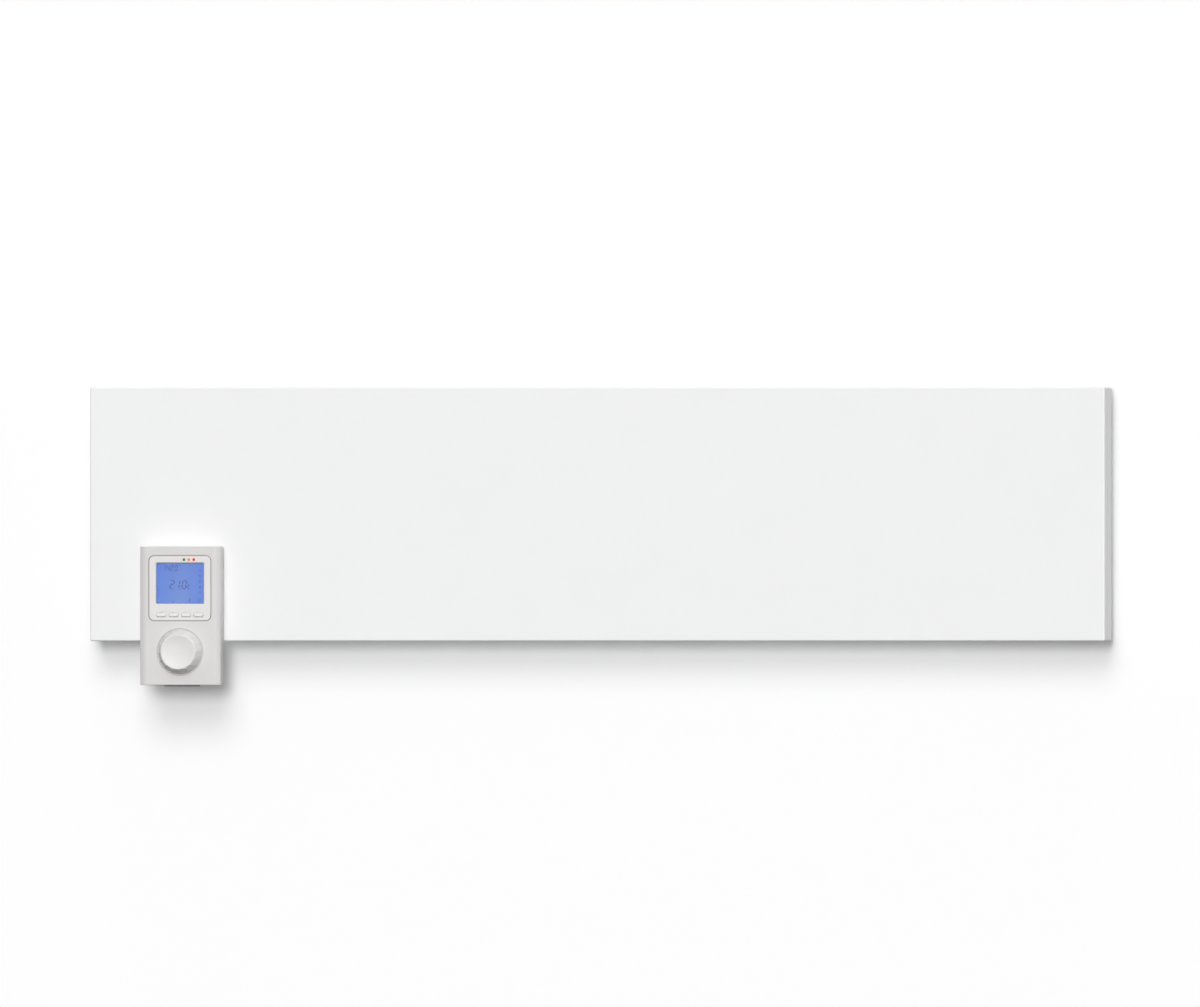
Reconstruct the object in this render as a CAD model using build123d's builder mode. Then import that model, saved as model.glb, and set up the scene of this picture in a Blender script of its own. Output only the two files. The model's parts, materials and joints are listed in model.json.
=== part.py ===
from build123d import *
import os

# Infrared wall panel heater with a room controller on the lower left corner of its face.
# Millimetres. The origin is the middle of the four wall screws, on the face of the wall.
# +X runs along the panel to the right, +Y goes into the wall and +Z is up, so the room
# lies on the -Y side, and a depth is a distance from the wall towards the room.

# Casing of the heater
panel_length = 1200.0
panel_height = 295.0
casing_depth = 42.0
wall_gap = 20.0
face_sheet = 1.2
face_bend = 1.8
lip_width = 14.0
mitre_gap = 0.6
cover_sheet = 0.8
cover_margin = 5.0
cover_corner = 4.0
cover_screw_inset = 9.0
cover_screws_per_row = 6

# Heating layers behind the face
film_margin = 12.0
film_thickness = 0.6
track_rows = 16
track_width = 9.0
track_thickness = 0.3
track_margin = 12.0
foil_thickness = 0.3
board_thickness = 28.0
terminal_bay = 40.0
bar_sheet = 0.8
bar_crown = 28.0
bar_flange = 16.0
bar_end_gap = 14.0

# Wall brackets and the hangers that drop into them
screw_span_x = 760.0
screw_span_z = 150.0
wall_screw_hole = 6.5
bracket_width = 50.0
bracket_sheet = 2.0
bracket_tail = 20.0
bend_radius = 2.0
hook_rise = 35.0
hook_pocket_depth = 10.0
hook_pocket_width = 6.0
hanger_sheet = 2.0
hanger_width = 62.0
hanger_base_height = 36.0
hanger_lip = 8.0
hang_play = 0.1

# Rubber spacers at the panel's lower edge
spacer_diameter = 20.0
spacer_inset_x = 40.0
spacer_inset_z = 22.0
spacer_stem = 8.0

# Screws and running fits
fit_play = 0.05
sheet_screw = 2.9
sheet_screw_head = 5.6
sheet_screw_head_height = 2.0
sheet_screw_length = 7.0

# Connection box on the back
box_length = 110.0
box_height = 70.0
box_depth = 17.5
box_wall = 2.0
box_lid = 2.0
box_corner = 4.0
box_inset = 60.0
box_rise = 47.5
box_post = 3.5
box_post_inset = 6.0
lead_slot_length = 20.0
lead_slot_width = 10.0
grommet_wall = 2.0
lead_diameter = 2.4
lead_bend = 6.0
lead_depth_in_box = 12.0
pole_pitch = 8.0
block_width = 16.0
block_depth = 11.0
stud_diameter = 4.0
nut_across_flats = 7.0
nut_height = 3.2
receiver_length = 52.0
receiver_height = 40.0
board_sheet = 1.6
standoff_height = 2.0
relay_length = 19.0
relay_width = 15.5
relay_height = 9.2
gland_thread = 12.0
gland_flats = 15.0
gland_flange = 5.0
gland_cap = 11.0
gland_bore = 6.6
gland_seal_wall = 1.5
gland_neck = 7.0

# Terminals and limiter in the bay beside the insulation
terminal_length = 14.0
terminal_width = 9.0
terminal_sheet = 1.2
barrel_diameter = 4.4
limiter_length = 20.0
limiter_width = 7.6
limiter_thickness = 4.8
limiter_rise = 30.0

# Room controller: its place on the panel and its shells
body_width = 95.0
body_height = 161.0
controller_inset = 63.5
controller_overhang = 51.0
pad_thickness = 1.0
pad_width = 24.0
pad_height = 88.0
plate_thickness = 2.5
plate_margin = 5.0
plate_gap = 0.3
rear_shell_depth = 8.2
front_shell_depth = 12.0
shell_wall = 2.0
shell_corner = 1.5
edge_roll = 8.0
edge_drop = 3.0
edge_round = 0.8
hook_drop = 14.0
hook_span = 44.0
hook_width = 12.0
hook_neck = 2.0
hook_tip = 3.0
hook_play = 0.3
boss_inset_x = 7.0
boss_inset_z = 7.5
boss_diameter = 6.5

# Display insert with its window, lights and keys
insert_width = 73.0
insert_height = 75.3
insert_rise = 32.0
insert_corner = 6.2
insert_thickness = 2.0
insert_groove = 0.5
insert_ledge = 3.0
ledge_thickness = 1.6
window_width = 56.3
window_height = 47.5
window_rise = 37.6
window_corner = 1.2
window_bevel = 0.8
glass_overlap = 1.3
glass_thickness = 1.4
cell_thickness = 2.8
backlight_thickness = 2.3
light_size = 3.0
light_pitch = 5.8
light_offset = 10.6
light_rise = 65.1
key_count = 4
key_width = 11.3
key_height = 4.8
key_pitch = 14.6
key_rise = 0.9
key_proud = 1.4
key_travel = 1.0
key_play = 0.2
key_flange = 0.8
key_stem = 3.2
switch_size = 6.0
switch_height = 3.4

# Dial knob and its encoder
knob_drop = 42.0
knob_diameter = 52.2
knob_face_diameter = 42.0
knob_height = 13.8
knob_wall = 2.2
knob_rib = 0.45
knob_rib_width = 1.3
knob_ribs = 16
knob_dish = 1.3
knob_rim = 0.7
recess_depth = 0.8
recess_play = 1.0
knob_gap = 0.4
encoder_size = 14.0
bushing_diameter = 7.0
bushing_length = 5.5
shaft_diameter = 6.0
encoder_nut_flats = 10.0
encoder_nut_height = 2.0
hub_wall = 2.5

# Circuit board, cells and release tab inside the controller
main_board_width = 84.0
main_board_low = -51.5
main_board_high = 67.5
cell_diameter = 10.5
cell_length = 44.5
cell_pitch = 11.2
cell_gap = 0.4
contact_thickness = 0.5
contact_travel = 3.0
tab_width = 42.0
tab_thickness = 3.6
tab_proud = 1.7
tab_travel = 1.2
tab_flange = 2.0
tab_flange_height = 1.0
tab_play = 0.3
cell_over_tab = 0.65

# Depths that follow from the sizes above
casing_rear = wall_gap
casing_front = casing_rear + casing_depth
cover_rear = casing_rear - cover_sheet
film_front = casing_front - face_sheet
track_front = film_front - film_thickness
foil_front = track_front - track_thickness
board_front = foil_front - foil_thickness
board_rear = board_front - board_thickness
pad_front = casing_front + pad_thickness
plate_front = pad_front + plate_thickness
shell_rear = plate_front + plate_gap
shell_split = shell_rear + rear_shell_depth
shell_front = shell_split + front_shell_depth
shell_inner_rear = shell_rear + shell_wall
shell_inner_front = shell_front - shell_wall
glass_rear = shell_front - insert_thickness - glass_thickness
lcd_rear = glass_rear - cell_thickness
main_board_front = lcd_rear - backlight_thickness
main_board_rear = main_board_front - board_sheet

# Places that follow from the sizes above
film_length = panel_length - 2 * film_margin
film_height = panel_height - 2 * film_margin
bay_x = film_length / 2 - terminal_bay / 2
hanger_x = screw_span_x / 2
bracket_bottom = -screw_span_z / 2 - bracket_tail
hook_top = screw_span_z / 2 + hook_rise
controller_x = -panel_length / 2 + controller_inset + body_width / 2
controller_z = -panel_height / 2 - controller_overhang + body_height / 2
box_x = panel_length / 2 - box_inset - box_length / 2
box_z = -panel_height / 2 + box_rise + box_height / 2
box_rear = cover_rear - box_depth
box_floor = cover_rear - box_wall
tab_space = shell_wall + tab_play + tab_flange_height + tab_travel + cell_over_tab
cell_row = -body_height / 2 + tab_space + (cell_diameter + cell_pitch) / 2
spacer_spots = [
    (side * (panel_length / 2 - spacer_inset_x), -panel_height / 2 + spacer_inset_z)
    for side in (-1, 1)
]
hanger_screw_dx = (bar_crown + bar_flange) / 2
hanger_screw_rows = [hook_top - hanger_base_height + rise for rise in (6.0, 24.0)]
hanger_screw_spots = [
    (side * hanger_x + offset, row)
    for side in (-1, 1)
    for offset in (-hanger_screw_dx, hanger_screw_dx)
    for row in hanger_screw_rows
]
row_x = panel_length / 2 - 3 * cover_screw_inset
row_pitch = 2 * row_x / (cover_screws_per_row - 1)
row_z = panel_height / 2 - cover_screw_inset
cover_screw_spots = [
    (-row_x + column * row_pitch, side * row_z)
    for column in range(cover_screws_per_row)
    for side in (-1, 1)
]
cover_screw_spots += [(side * (panel_length / 2 - cover_screw_inset), 0) for side in (-1, 1)]

os.makedirs("parts", exist_ok=True)


def room_plane(depth):
    """Plane parallel to the wall; a sketch on it reads (x, z) and rises towards the room."""
    return Plane.XZ.offset(depth)


def box_plane(depth):
    """The same, centred on the connection box."""
    return Plane((box_x, -depth, box_z), x_dir=(1, 0, 0), z_dir=(0, -1, 0))


def face_plane(depth):
    """The same, centred on the room controller."""
    return Plane((controller_x, -depth, controller_z), x_dir=(1, 0, 0), z_dir=(0, -1, 0))


def knob_plane(depth):
    """The same, centred on the dial knob's axis."""
    return Plane(
        (controller_x, -depth, controller_z - knob_drop), x_dir=(1, 0, 0), z_dir=(0, -1, 0)
    )


def screw_solid(head_diameter, head_height, diameter, length):
    """A pan head screw: head above the local XY plane, shank below it, with a cross slot."""
    slot_width = head_diameter * 0.16
    slot_length = head_diameter * 0.6
    with BuildPart() as screw:
        with BuildSketch(Plane.XY):
            Circle(head_diameter / 2)
        extrude(amount=head_height)
        fillet(screw.faces().sort_by(Axis.Z)[-1].edges(), head_height * 0.4)
        with BuildSketch(Plane.XY):
            Circle(diameter / 2)
        extrude(amount=-length)
        chamfer(screw.faces().sort_by(Axis.Z)[0].edges(), diameter * 0.2)
        with BuildSketch(Plane.XY.offset(head_height)):
            Rectangle(slot_length, slot_width)
            Rectangle(slot_width, slot_length)
        extrude(amount=-head_height / 2, mode=Mode.SUBTRACT)
    return screw.part


def facing_wall(x, depth, z):
    """Plane at a point whose normal points into the wall, for screws driven from behind."""
    return Plane((x, -depth, z), x_dir=(1, 0, 0), z_dir=(0, 1, 0))


# Front panel: one folded steel tray, the flat white face with its sides and rear lips
with BuildPart() as front_panel:
    with BuildSketch(room_plane(casing_rear)):
        RectangleRounded(panel_length, panel_height, face_bend + 0.2)
    extrude(amount=casing_depth)
    fillet(front_panel.faces().sort_by(Axis.Y)[0].edges(), face_bend)
    with BuildSketch(room_plane(casing_rear + face_sheet)):
        RectangleRounded(
            panel_length - 2 * face_sheet,
            panel_height - 2 * face_sheet,
            face_bend + 0.2 - face_sheet,
        )
    extrude(amount=casing_depth - 2 * face_sheet, mode=Mode.SUBTRACT)
    with BuildSketch(room_plane(casing_rear)):
        Rectangle(panel_length - 2 * lip_width, panel_height - 2 * lip_width)
        with Locations(*cover_screw_spots):
            Circle(sheet_screw / 2 + fit_play)
        for side_x in (-1, 1):
            for side_z in (-1, 1):
                mitre_x = side_x * (panel_length / 2 - lip_width / 2 - face_sheet)
                mitre_z = side_z * (panel_height / 2 - lip_width / 2 - face_sheet)
                with Locations((mitre_x, mitre_z)):
                    Rectangle(
                        lip_width * 1.1, mitre_gap, rotation=45 * side_x * side_z
                    )
    extrude(amount=face_sheet, mode=Mode.SUBTRACT)
front_panel.part.label = "front_panel"
export_step(front_panel.part, "parts/front_panel.step")

# Rear cover: flat galvanised sheet that closes the tray
with BuildPart() as rear_cover:
    with BuildSketch(room_plane(cover_rear)):
        RectangleRounded(
            panel_length - 2 * cover_margin, panel_height - 2 * cover_margin, cover_corner
        )
        with Locations(*cover_screw_spots, *hanger_screw_spots):
            Circle(sheet_screw / 2 + fit_play, mode=Mode.SUBTRACT)
        with Locations(*spacer_spots):
            Circle(spacer_stem / 2, mode=Mode.SUBTRACT)
        with Locations((box_x - box_length / 2 + 20, box_z + pole_pitch / 2)):
            SlotOverall(lead_slot_length, lead_slot_width, rotation=90, mode=Mode.SUBTRACT)
        with Locations((box_x - box_length / 2 + 20, box_z - 2 * pole_pitch)):
            Circle(stud_diameter / 2 + fit_play, mode=Mode.SUBTRACT)
    extrude(amount=cover_sheet)
rear_cover.part.label = "rear_cover"
export_step(rear_cover.part, "parts/rear_cover.step")

# Self-tapping screws that hold the cover to the lips
cover_screw = screw_solid(
    sheet_screw_head, sheet_screw_head_height, sheet_screw, sheet_screw_length
)
with BuildPart() as cover_screws:
    with Locations(*[facing_wall(x, cover_rear, z) for x, z in cover_screw_spots]):
        add(cover_screw)
cover_screws.part.label = "cover_screws"
export_step(cover_screws.part, "parts/cover_screws.step")

# Heating film bonded to the back of the face
with BuildPart() as heating_film:
    with BuildSketch(room_plane(track_front)):
        Rectangle(film_length, film_height)
    extrude(amount=film_thickness)
heating_film.part.label = "heating_film"
export_step(heating_film.part, "parts/heating_film.step")

# Resistance track: parallel rows joined at alternate ends, both free ends at the right
track_length = film_length - 2 * track_margin
track_pitch = (film_height - 2 * track_margin) / (track_rows - 1)
track_bottom = -(film_height / 2 - track_margin)
with BuildPart() as heater_track:
    with BuildSketch(room_plane(foil_front)):
        for row in range(track_rows):
            with Locations((0, track_bottom + row * track_pitch)):
                Rectangle(track_length, track_width)
        for row in range(track_rows - 1):
            side = -1 if row % 2 == 0 else 1
            join_x = side * (track_length - track_width) / 2
            with Locations((join_x, track_bottom + (row + 0.5) * track_pitch)):
                Rectangle(track_width, track_pitch + track_width)
    extrude(amount=track_thickness)
heater_track.part.label = "heater_track"
export_step(heater_track.part, "parts/heater_track.step")

# Insulation board with its reflector foil; both stop short to leave the terminal bay
board_length = film_length - terminal_bay
for node, depth, thickness in (
    ("reflector_foil", board_front, foil_thickness),
    ("insulation_board", board_rear, board_thickness),
):
    with BuildPart() as layer:
        with BuildSketch(room_plane(depth)):
            with Locations((-terminal_bay / 2, 0)):
                Rectangle(board_length, film_height)
        extrude(amount=thickness)
    layer.part.label = node
    export_step(layer.part, f"parts/{node}.step")

# Pressure bars: hat sections on the cover that hold the layers against the face
bar_height = board_rear - casing_rear
with BuildPart() as pressure_bars:
    for bar_x in (-hanger_x, 0, hanger_x):
        with BuildSketch(Plane.XY.offset(-panel_height / 2 + bar_end_gap)):
            with Locations((bar_x, -board_rear + bar_sheet / 2)):
                Rectangle(bar_crown, bar_sheet)
            for side in (-1, 1):
                with Locations((bar_x + side * (bar_crown - bar_sheet) / 2, -board_rear)):
                    Rectangle(bar_sheet, bar_height, align=(Align.CENTER, Align.MIN))
                with Locations(
                    (bar_x + side * (bar_crown + bar_flange) / 2, -casing_rear - bar_sheet)
                ):
                    Rectangle(bar_flange, bar_sheet, align=(Align.CENTER, Align.MIN))
        extrude(amount=panel_height - 2 * bar_end_gap)
    with BuildSketch(room_plane(casing_rear)):
        with Locations(*hanger_screw_spots):
            Circle(sheet_screw / 2 + fit_play)
    extrude(amount=bar_sheet, mode=Mode.SUBTRACT)
pressure_bars.part.label = "pressure_bars"
export_step(pressure_bars.part, "parts/pressure_bars.step")

# Film terminals: brass tags on the two track ends, each with a barrel for its lead
terminal_rear = foil_front - terminal_sheet
lead_bay_depth = foil_front - limiter_thickness / 2
terminal_z = -track_bottom
with BuildPart() as film_terminals:
    for side in (-1, 1):
        with BuildSketch(room_plane(terminal_rear)):
            with Locations((bay_x, side * terminal_z)):
                Rectangle(terminal_width, terminal_width)
        extrude(amount=terminal_sheet)
        barrel_top = side * (terminal_z - terminal_width / 2 + 1.0)
        with BuildSketch(Plane.XY.offset(barrel_top)):
            with Locations((bay_x, -lead_bay_depth)):
                Circle(barrel_diameter / 2)
            with Locations((bay_x, -lead_bay_depth)):
                Rectangle(
                    barrel_diameter / 2,
                    foil_front - lead_bay_depth,
                    align=(Align.CENTER, Align.MAX),
                )
        extrude(amount=-side * (terminal_length - terminal_width))
film_terminals.part.label = "film_terminals"
export_step(film_terminals.part, "parts/film_terminals.step")

# Overheat limiter: a capsule laid on the track in the live lead's line
with BuildPart() as overheat_limiter:
    with BuildSketch(room_plane(foil_front - limiter_thickness)):
        with Locations((bay_x, limiter_rise)):
            RectangleRounded(limiter_width, limiter_length, 1.5)
    extrude(amount=limiter_thickness)
overheat_limiter.part.label = "overheat_limiter"
export_step(overheat_limiter.part, "parts/overheat_limiter.step")

# Leads: live and neutral come out of the terminal block, turn through the grommet into
# the air gap behind the insulation, and turn again into the terminal bay
block_x = box_x - box_length / 2 + 44.0
block_left = block_x - block_width / 2
slot_x = box_x - box_length / 2 + 20.0
lead_gap_depth = (board_rear + casing_rear) / 2
barrel_mouth = terminal_z - terminal_width / 2 + 1.0 - (terminal_length - terminal_width)
lead_routes = {
    "live_lead": (pole_pitch, limiter_rise - limiter_length / 2),
    "neutral_lead": (0.0, -barrel_mouth),
}
for node, (pole, end_z) in lead_routes.items():
    lead_z = box_z + pole
    with BuildPart() as lead:
        with BuildLine():
            FilletPolyline(
                (block_left, -lead_depth_in_box, lead_z),
                (slot_x, -lead_depth_in_box, lead_z),
                (slot_x, -lead_gap_depth, lead_z),
                (bay_x, -lead_gap_depth, lead_z),
                (bay_x, -lead_bay_depth, lead_z),
                (bay_x, -lead_bay_depth, end_z),
                radius=lead_bend,
            )
        with BuildSketch(Plane((block_left, -lead_depth_in_box, lead_z), z_dir=(-1, 0, 0))):
            Circle(lead_diameter / 2)
        sweep()
    lead.part.label = node
    export_step(lead.part, f"parts/{node}.step")

with BuildPart() as limiter_lead:
    with BuildSketch(Plane.XY.offset(limiter_rise + limiter_length / 2)):
        with Locations((bay_x, -lead_bay_depth)):
            Circle(lead_diameter / 2)
    extrude(amount=barrel_mouth - limiter_rise - limiter_length / 2)
limiter_lead.part.label = "limiter_lead"
export_step(limiter_lead.part, "parts/limiter_lead.step")

# Rubber spacers: tapered feet with a stem pushed through the cover
with BuildPart() as rubber_spacers:
    for x, z in spacer_spots:
        with BuildSketch(facing_wall(x, cover_rear, z)):
            Circle(spacer_diameter / 2)
        extrude(amount=cover_rear, taper=4)
        with BuildSketch(facing_wall(x, cover_rear, z)):
            Circle(spacer_stem / 2)
        extrude(amount=-cover_sheet - 2.0)
rubber_spacers.part.label = "rubber_spacers"
export_step(rubber_spacers.part, "parts/rubber_spacers.step")

# Wall brackets: bent strips screwed to the wall, whose top edge is an open hook
web_depth = bracket_sheet + hook_pocket_width + bracket_sheet / 2
web_z = hook_top - hook_pocket_depth - bracket_sheet / 2
for side, node in ((-1, "wall_bracket_left"), (1, "wall_bracket_right")):
    with BuildPart() as bracket:
        with BuildSketch(Plane.YZ.offset(side * hanger_x - bracket_width / 2)):
            with BuildLine():
                FilletPolyline(
                    (-bracket_sheet / 2, bracket_bottom),
                    (-bracket_sheet / 2, web_z),
                    (-web_depth, web_z),
                    (-web_depth, hook_top),
                    radius=bend_radius,
                )
            trace(line_width=bracket_sheet)
        extrude(amount=bracket_width)
        with BuildSketch(room_plane(0)):
            with Locations((side * hanger_x, 0)):
                with GridLocations(0, screw_span_z, 1, 2):
                    Circle(wall_screw_hole / 2)
        extrude(amount=bracket_sheet, mode=Mode.SUBTRACT)
    bracket.part.label = node
    export_step(bracket.part, f"parts/{node}.step")

# Hangers: Z sections on the cover whose lip drops into the bracket's hook
hanger_web_z = hook_top + hang_play + hanger_sheet / 2
hanger_lip_depth = bracket_sheet + hook_pocket_width / 2
for side, node in ((-1, "hanger_left"), (1, "hanger_right")):
    with BuildPart() as hanger:
        with BuildSketch(Plane.YZ.offset(side * hanger_x - hanger_width / 2)):
            with BuildLine():
                FilletPolyline(
                    (-cover_rear + hanger_sheet / 2, hook_top - hanger_base_height),
                    (-cover_rear + hanger_sheet / 2, hanger_web_z),
                    (-hanger_lip_depth, hanger_web_z),
                    (-hanger_lip_depth, hook_top - hanger_lip),
                    radius=bend_radius,
                )
            trace(line_width=hanger_sheet)
        extrude(amount=hanger_width)
        with BuildSketch(room_plane(cover_rear - hanger_sheet)):
            with Locations(*hanger_screw_spots):
                Circle(sheet_screw / 2 + fit_play)
        extrude(amount=hanger_sheet, mode=Mode.SUBTRACT)
    hanger.part.label = node
    export_step(hanger.part, f"parts/{node}.step")

# Screws that clamp the hangers through the cover into the pressure bars
with BuildPart() as hanger_screws:
    with Locations(
        *[facing_wall(x, cover_rear - hanger_sheet, z) for x, z in hanger_screw_spots]
    ):
        add(cover_screw)
hanger_screws.part.label = "hanger_screws"
export_step(hanger_screws.part, "parts/hanger_screws.step")

# Connection box: tray on the cover's back, open towards the wall
post_span_x = box_length - 2 * box_post_inset
post_span_z = box_height - 2 * box_post_inset
gland_x = block_x
gland_depth = (cover_rear + box_rear) / 2
receiver_x = box_length / 2 - box_wall - 3.0 - receiver_length / 2
receiver_z = 2.0
standoff_span_x = receiver_length - 8.0
standoff_span_z = receiver_height - 8.0
receiver_front = box_floor - standoff_height
inside_length = box_length - 2 * box_wall
inside_height = box_height - 2 * box_wall
box_lid_inner = box_rear + box_lid
with BuildPart() as junction_box:
    with BuildSketch(box_plane(box_lid_inner)):
        RectangleRounded(box_length, box_height, box_corner)
        RectangleRounded(
            inside_length, inside_height, box_corner - box_wall, mode=Mode.SUBTRACT
        )
    extrude(amount=box_depth - box_lid)
    with BuildSketch(box_plane(box_lid_inner)):
        with GridLocations(post_span_x, post_span_z, 2, 2):
            Circle(box_post)
    extrude(amount=box_depth - box_lid)
    with BuildSketch(box_plane(box_floor)):
        RectangleRounded(box_length, box_height, box_corner)
    extrude(amount=box_wall)
    with BuildSketch(box_plane(receiver_front)):
        with Locations((receiver_x, receiver_z)):
            with GridLocations(standoff_span_x, standoff_span_z, 2, 2):
                Circle(2.5)
    extrude(amount=standoff_height)
    with BuildSketch(box_plane(box_lid_inner)):
        with GridLocations(post_span_x, post_span_z, 2, 2):
            Circle(sheet_screw / 2 + fit_play)
    extrude(amount=sheet_screw_length, mode=Mode.SUBTRACT)
    with BuildSketch(box_plane(box_floor)):
        with Locations((slot_x - box_x, pole_pitch / 2)):
            SlotOverall(lead_slot_length, lead_slot_width, rotation=90)
        with Locations((slot_x - box_x, -2 * pole_pitch)):
            Circle(stud_diameter / 2 + fit_play)
    extrude(amount=box_wall, mode=Mode.SUBTRACT)
    with BuildSketch(Plane((gland_x, -gland_depth, box_z - box_height / 2))):
        Circle(gland_thread / 2 + fit_play)
    extrude(amount=box_wall, mode=Mode.SUBTRACT)
junction_box.part.label = "junction_box"
export_step(junction_box.part, "parts/junction_box.step")

# Lid of the connection box, facing the wall, and its four screws
with BuildPart() as box_cover_lid:
    with BuildSketch(box_plane(box_rear)):
        RectangleRounded(box_length, box_height, box_corner)
        with GridLocations(post_span_x, post_span_z, 2, 2):
            Circle(sheet_screw / 2 + fit_play, mode=Mode.SUBTRACT)
    extrude(amount=box_lid)
    fillet(box_cover_lid.faces().sort_by(Axis.Y)[-1].edges().filter_by(Axis.X), 0.8)
    with BuildSketch(box_plane(box_rear)):
        with GridLocations(post_span_x, post_span_z, 2, 2):
            Circle(sheet_screw_head / 2 + fit_play)
    extrude(amount=box_lid / 2, mode=Mode.SUBTRACT)
box_cover_lid.part.label = "box_lid"
export_step(box_cover_lid.part, "parts/box_lid.step")

lid_screw = screw_solid(sheet_screw_head, box_lid / 2, sheet_screw, sheet_screw_length)
with BuildPart() as box_lid_screws:
    with Locations(
        *[
            facing_wall(
                box_x + side_x * post_span_x / 2,
                box_rear + box_lid / 2,
                box_z + side_z * post_span_z / 2,
            )
            for side_x in (-1, 1)
            for side_z in (-1, 1)
        ]
    ):
        add(lid_screw)
box_lid_screws.part.label = "box_lid_screws"
export_step(box_lid_screws.part, "parts/box_lid_screws.step")

# Grommet that lines the slot through the box floor and the cover
grommet_groove = box_wall + cover_sheet
with BuildPart() as lead_grommet:
    with BuildSketch(box_plane(box_floor)):
        with Locations((slot_x - box_x, pole_pitch / 2)):
            SlotOverall(lead_slot_length, lead_slot_width, rotation=90)
    extrude(amount=grommet_groove)
    for depth in (box_floor - grommet_wall / 2, casing_rear):
        with BuildSketch(box_plane(depth)):
            with Locations((slot_x - box_x, pole_pitch / 2)):
                SlotOverall(lead_slot_length + 3, lead_slot_width + 3, rotation=90)
        extrude(amount=grommet_wall / 2)
    with BuildSketch(box_plane(box_floor - grommet_wall)):
        with Locations((slot_x - box_x, pole_pitch / 2)):
            SlotOverall(
                lead_slot_length - 2 * grommet_wall,
                lead_slot_width - 2 * grommet_wall,
                rotation=90,
            )
    extrude(amount=grommet_groove + 2 * grommet_wall, mode=Mode.SUBTRACT)
lead_grommet.part.label = "lead_grommet"
export_step(lead_grommet.part, "parts/lead_grommet.step")

# Earth stud with its nuts, and the earth lead with its ring
with BuildPart() as earth_stud:
    with BuildSketch(facing_wall(slot_x, casing_rear, box_z - 2 * pole_pitch)):
        RegularPolygon(nut_across_flats / 2, 6, major_radius=False)
    extrude(amount=-nut_height)
    with BuildSketch(facing_wall(slot_x, casing_rear, box_z - 2 * pole_pitch)):
        Circle(stud_diameter / 2)
    extrude(amount=casing_rear - lead_depth_in_box + nut_height + 2.0)
    with BuildSketch(
        facing_wall(slot_x, lead_depth_in_box - board_sheet / 2, box_z - 2 * pole_pitch)
    ):
        RegularPolygon(nut_across_flats / 2, 6, major_radius=False)
    extrude(amount=nut_height)
    with BuildSketch(facing_wall(slot_x, box_floor, box_z - 2 * pole_pitch)):
        RegularPolygon(nut_across_flats / 2, 6, major_radius=False)
    extrude(amount=box_floor - lead_depth_in_box - board_sheet / 2)
earth_stud.part.label = "earth_stud"
export_step(earth_stud.part, "parts/earth_stud.step")

earth_z = box_z - 2 * pole_pitch
ring_radius = stud_diameter
with BuildPart() as earth_lead:
    with BuildSketch(room_plane(lead_depth_in_box - board_sheet / 2)):
        with Locations((slot_x, earth_z)):
            Circle(ring_radius)
        with Locations((slot_x, earth_z)):
            Rectangle(ring_radius + 4.0, lead_diameter, align=(Align.MIN, Align.CENTER))
        with Locations((slot_x, earth_z)):
            Circle(stud_diameter / 2 + fit_play, mode=Mode.SUBTRACT)
    extrude(amount=board_sheet)
    with BuildSketch(Plane((slot_x + ring_radius + 1.0, -lead_depth_in_box, earth_z), z_dir=(1, 0, 0))):
        Circle(lead_diameter / 2)
    extrude(amount=block_left - slot_x - ring_radius - 1.0)
earth_lead.part.label = "earth_lead"
export_step(earth_lead.part, "parts/earth_lead.step")

# Three pole terminal block on the box floor, with its clamping screws
block_height = 4 * pole_pitch
block_top = box_floor - block_depth
pole_rows = [box_z + pole_pitch, box_z, earth_z]
with BuildPart() as terminal_block:
    with BuildSketch(room_plane(block_top)):
        with Locations((block_x, box_z - pole_pitch / 2)):
            RectangleRounded(block_width, block_height, 1.0)
        with Locations(*[(block_x, row) for row in pole_rows]):
            Circle(sheet_screw / 2 + 0.4, mode=Mode.SUBTRACT)
    extrude(amount=block_depth)
terminal_block.part.label = "terminal_block"
export_step(terminal_block.part, "parts/terminal_block.step")

pole_screw = screw_solid(sheet_screw, 1.2, sheet_screw * 0.8, 5.0)
with BuildPart() as terminal_screws:
    with Locations(*[facing_wall(block_x, block_top + 2.0, row) for row in pole_rows]):
        add(pole_screw)
terminal_screws.part.label = "terminal_screws"
export_step(terminal_screws.part, "parts/terminal_screws.step")

# Radio receiver board on its standoffs, and the relay that switches the film
with BuildPart() as receiver_board:
    with BuildSketch(box_plane(receiver_front - board_sheet)):
        with Locations((receiver_x, receiver_z)):
            RectangleRounded(receiver_length, receiver_height, 1.0)
    extrude(amount=board_sheet)
    with BuildSketch(box_plane(receiver_front - board_sheet - 1.4)):
        with Locations((receiver_x + 10, receiver_z - 10)):
            Rectangle(12, 8)
        with Locations((receiver_x + 12, receiver_z + 6)):
            Rectangle(7, 7)
        with Locations((receiver_x - 3, receiver_z + 14)):
            Rectangle(20, 2)
    extrude(amount=1.4)
receiver_board.part.label = "receiver_board"
export_step(receiver_board.part, "parts/receiver_board.step")

with BuildPart() as power_relay:
    with BuildSketch(box_plane(receiver_front - board_sheet - relay_height)):
        with Locations((receiver_x - 12, receiver_z)):
            RectangleRounded(relay_width, relay_length, 0.8)
    extrude(amount=relay_height)
power_relay.part.label = "power_relay"
export_step(power_relay.part, "parts/power_relay.step")

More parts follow.
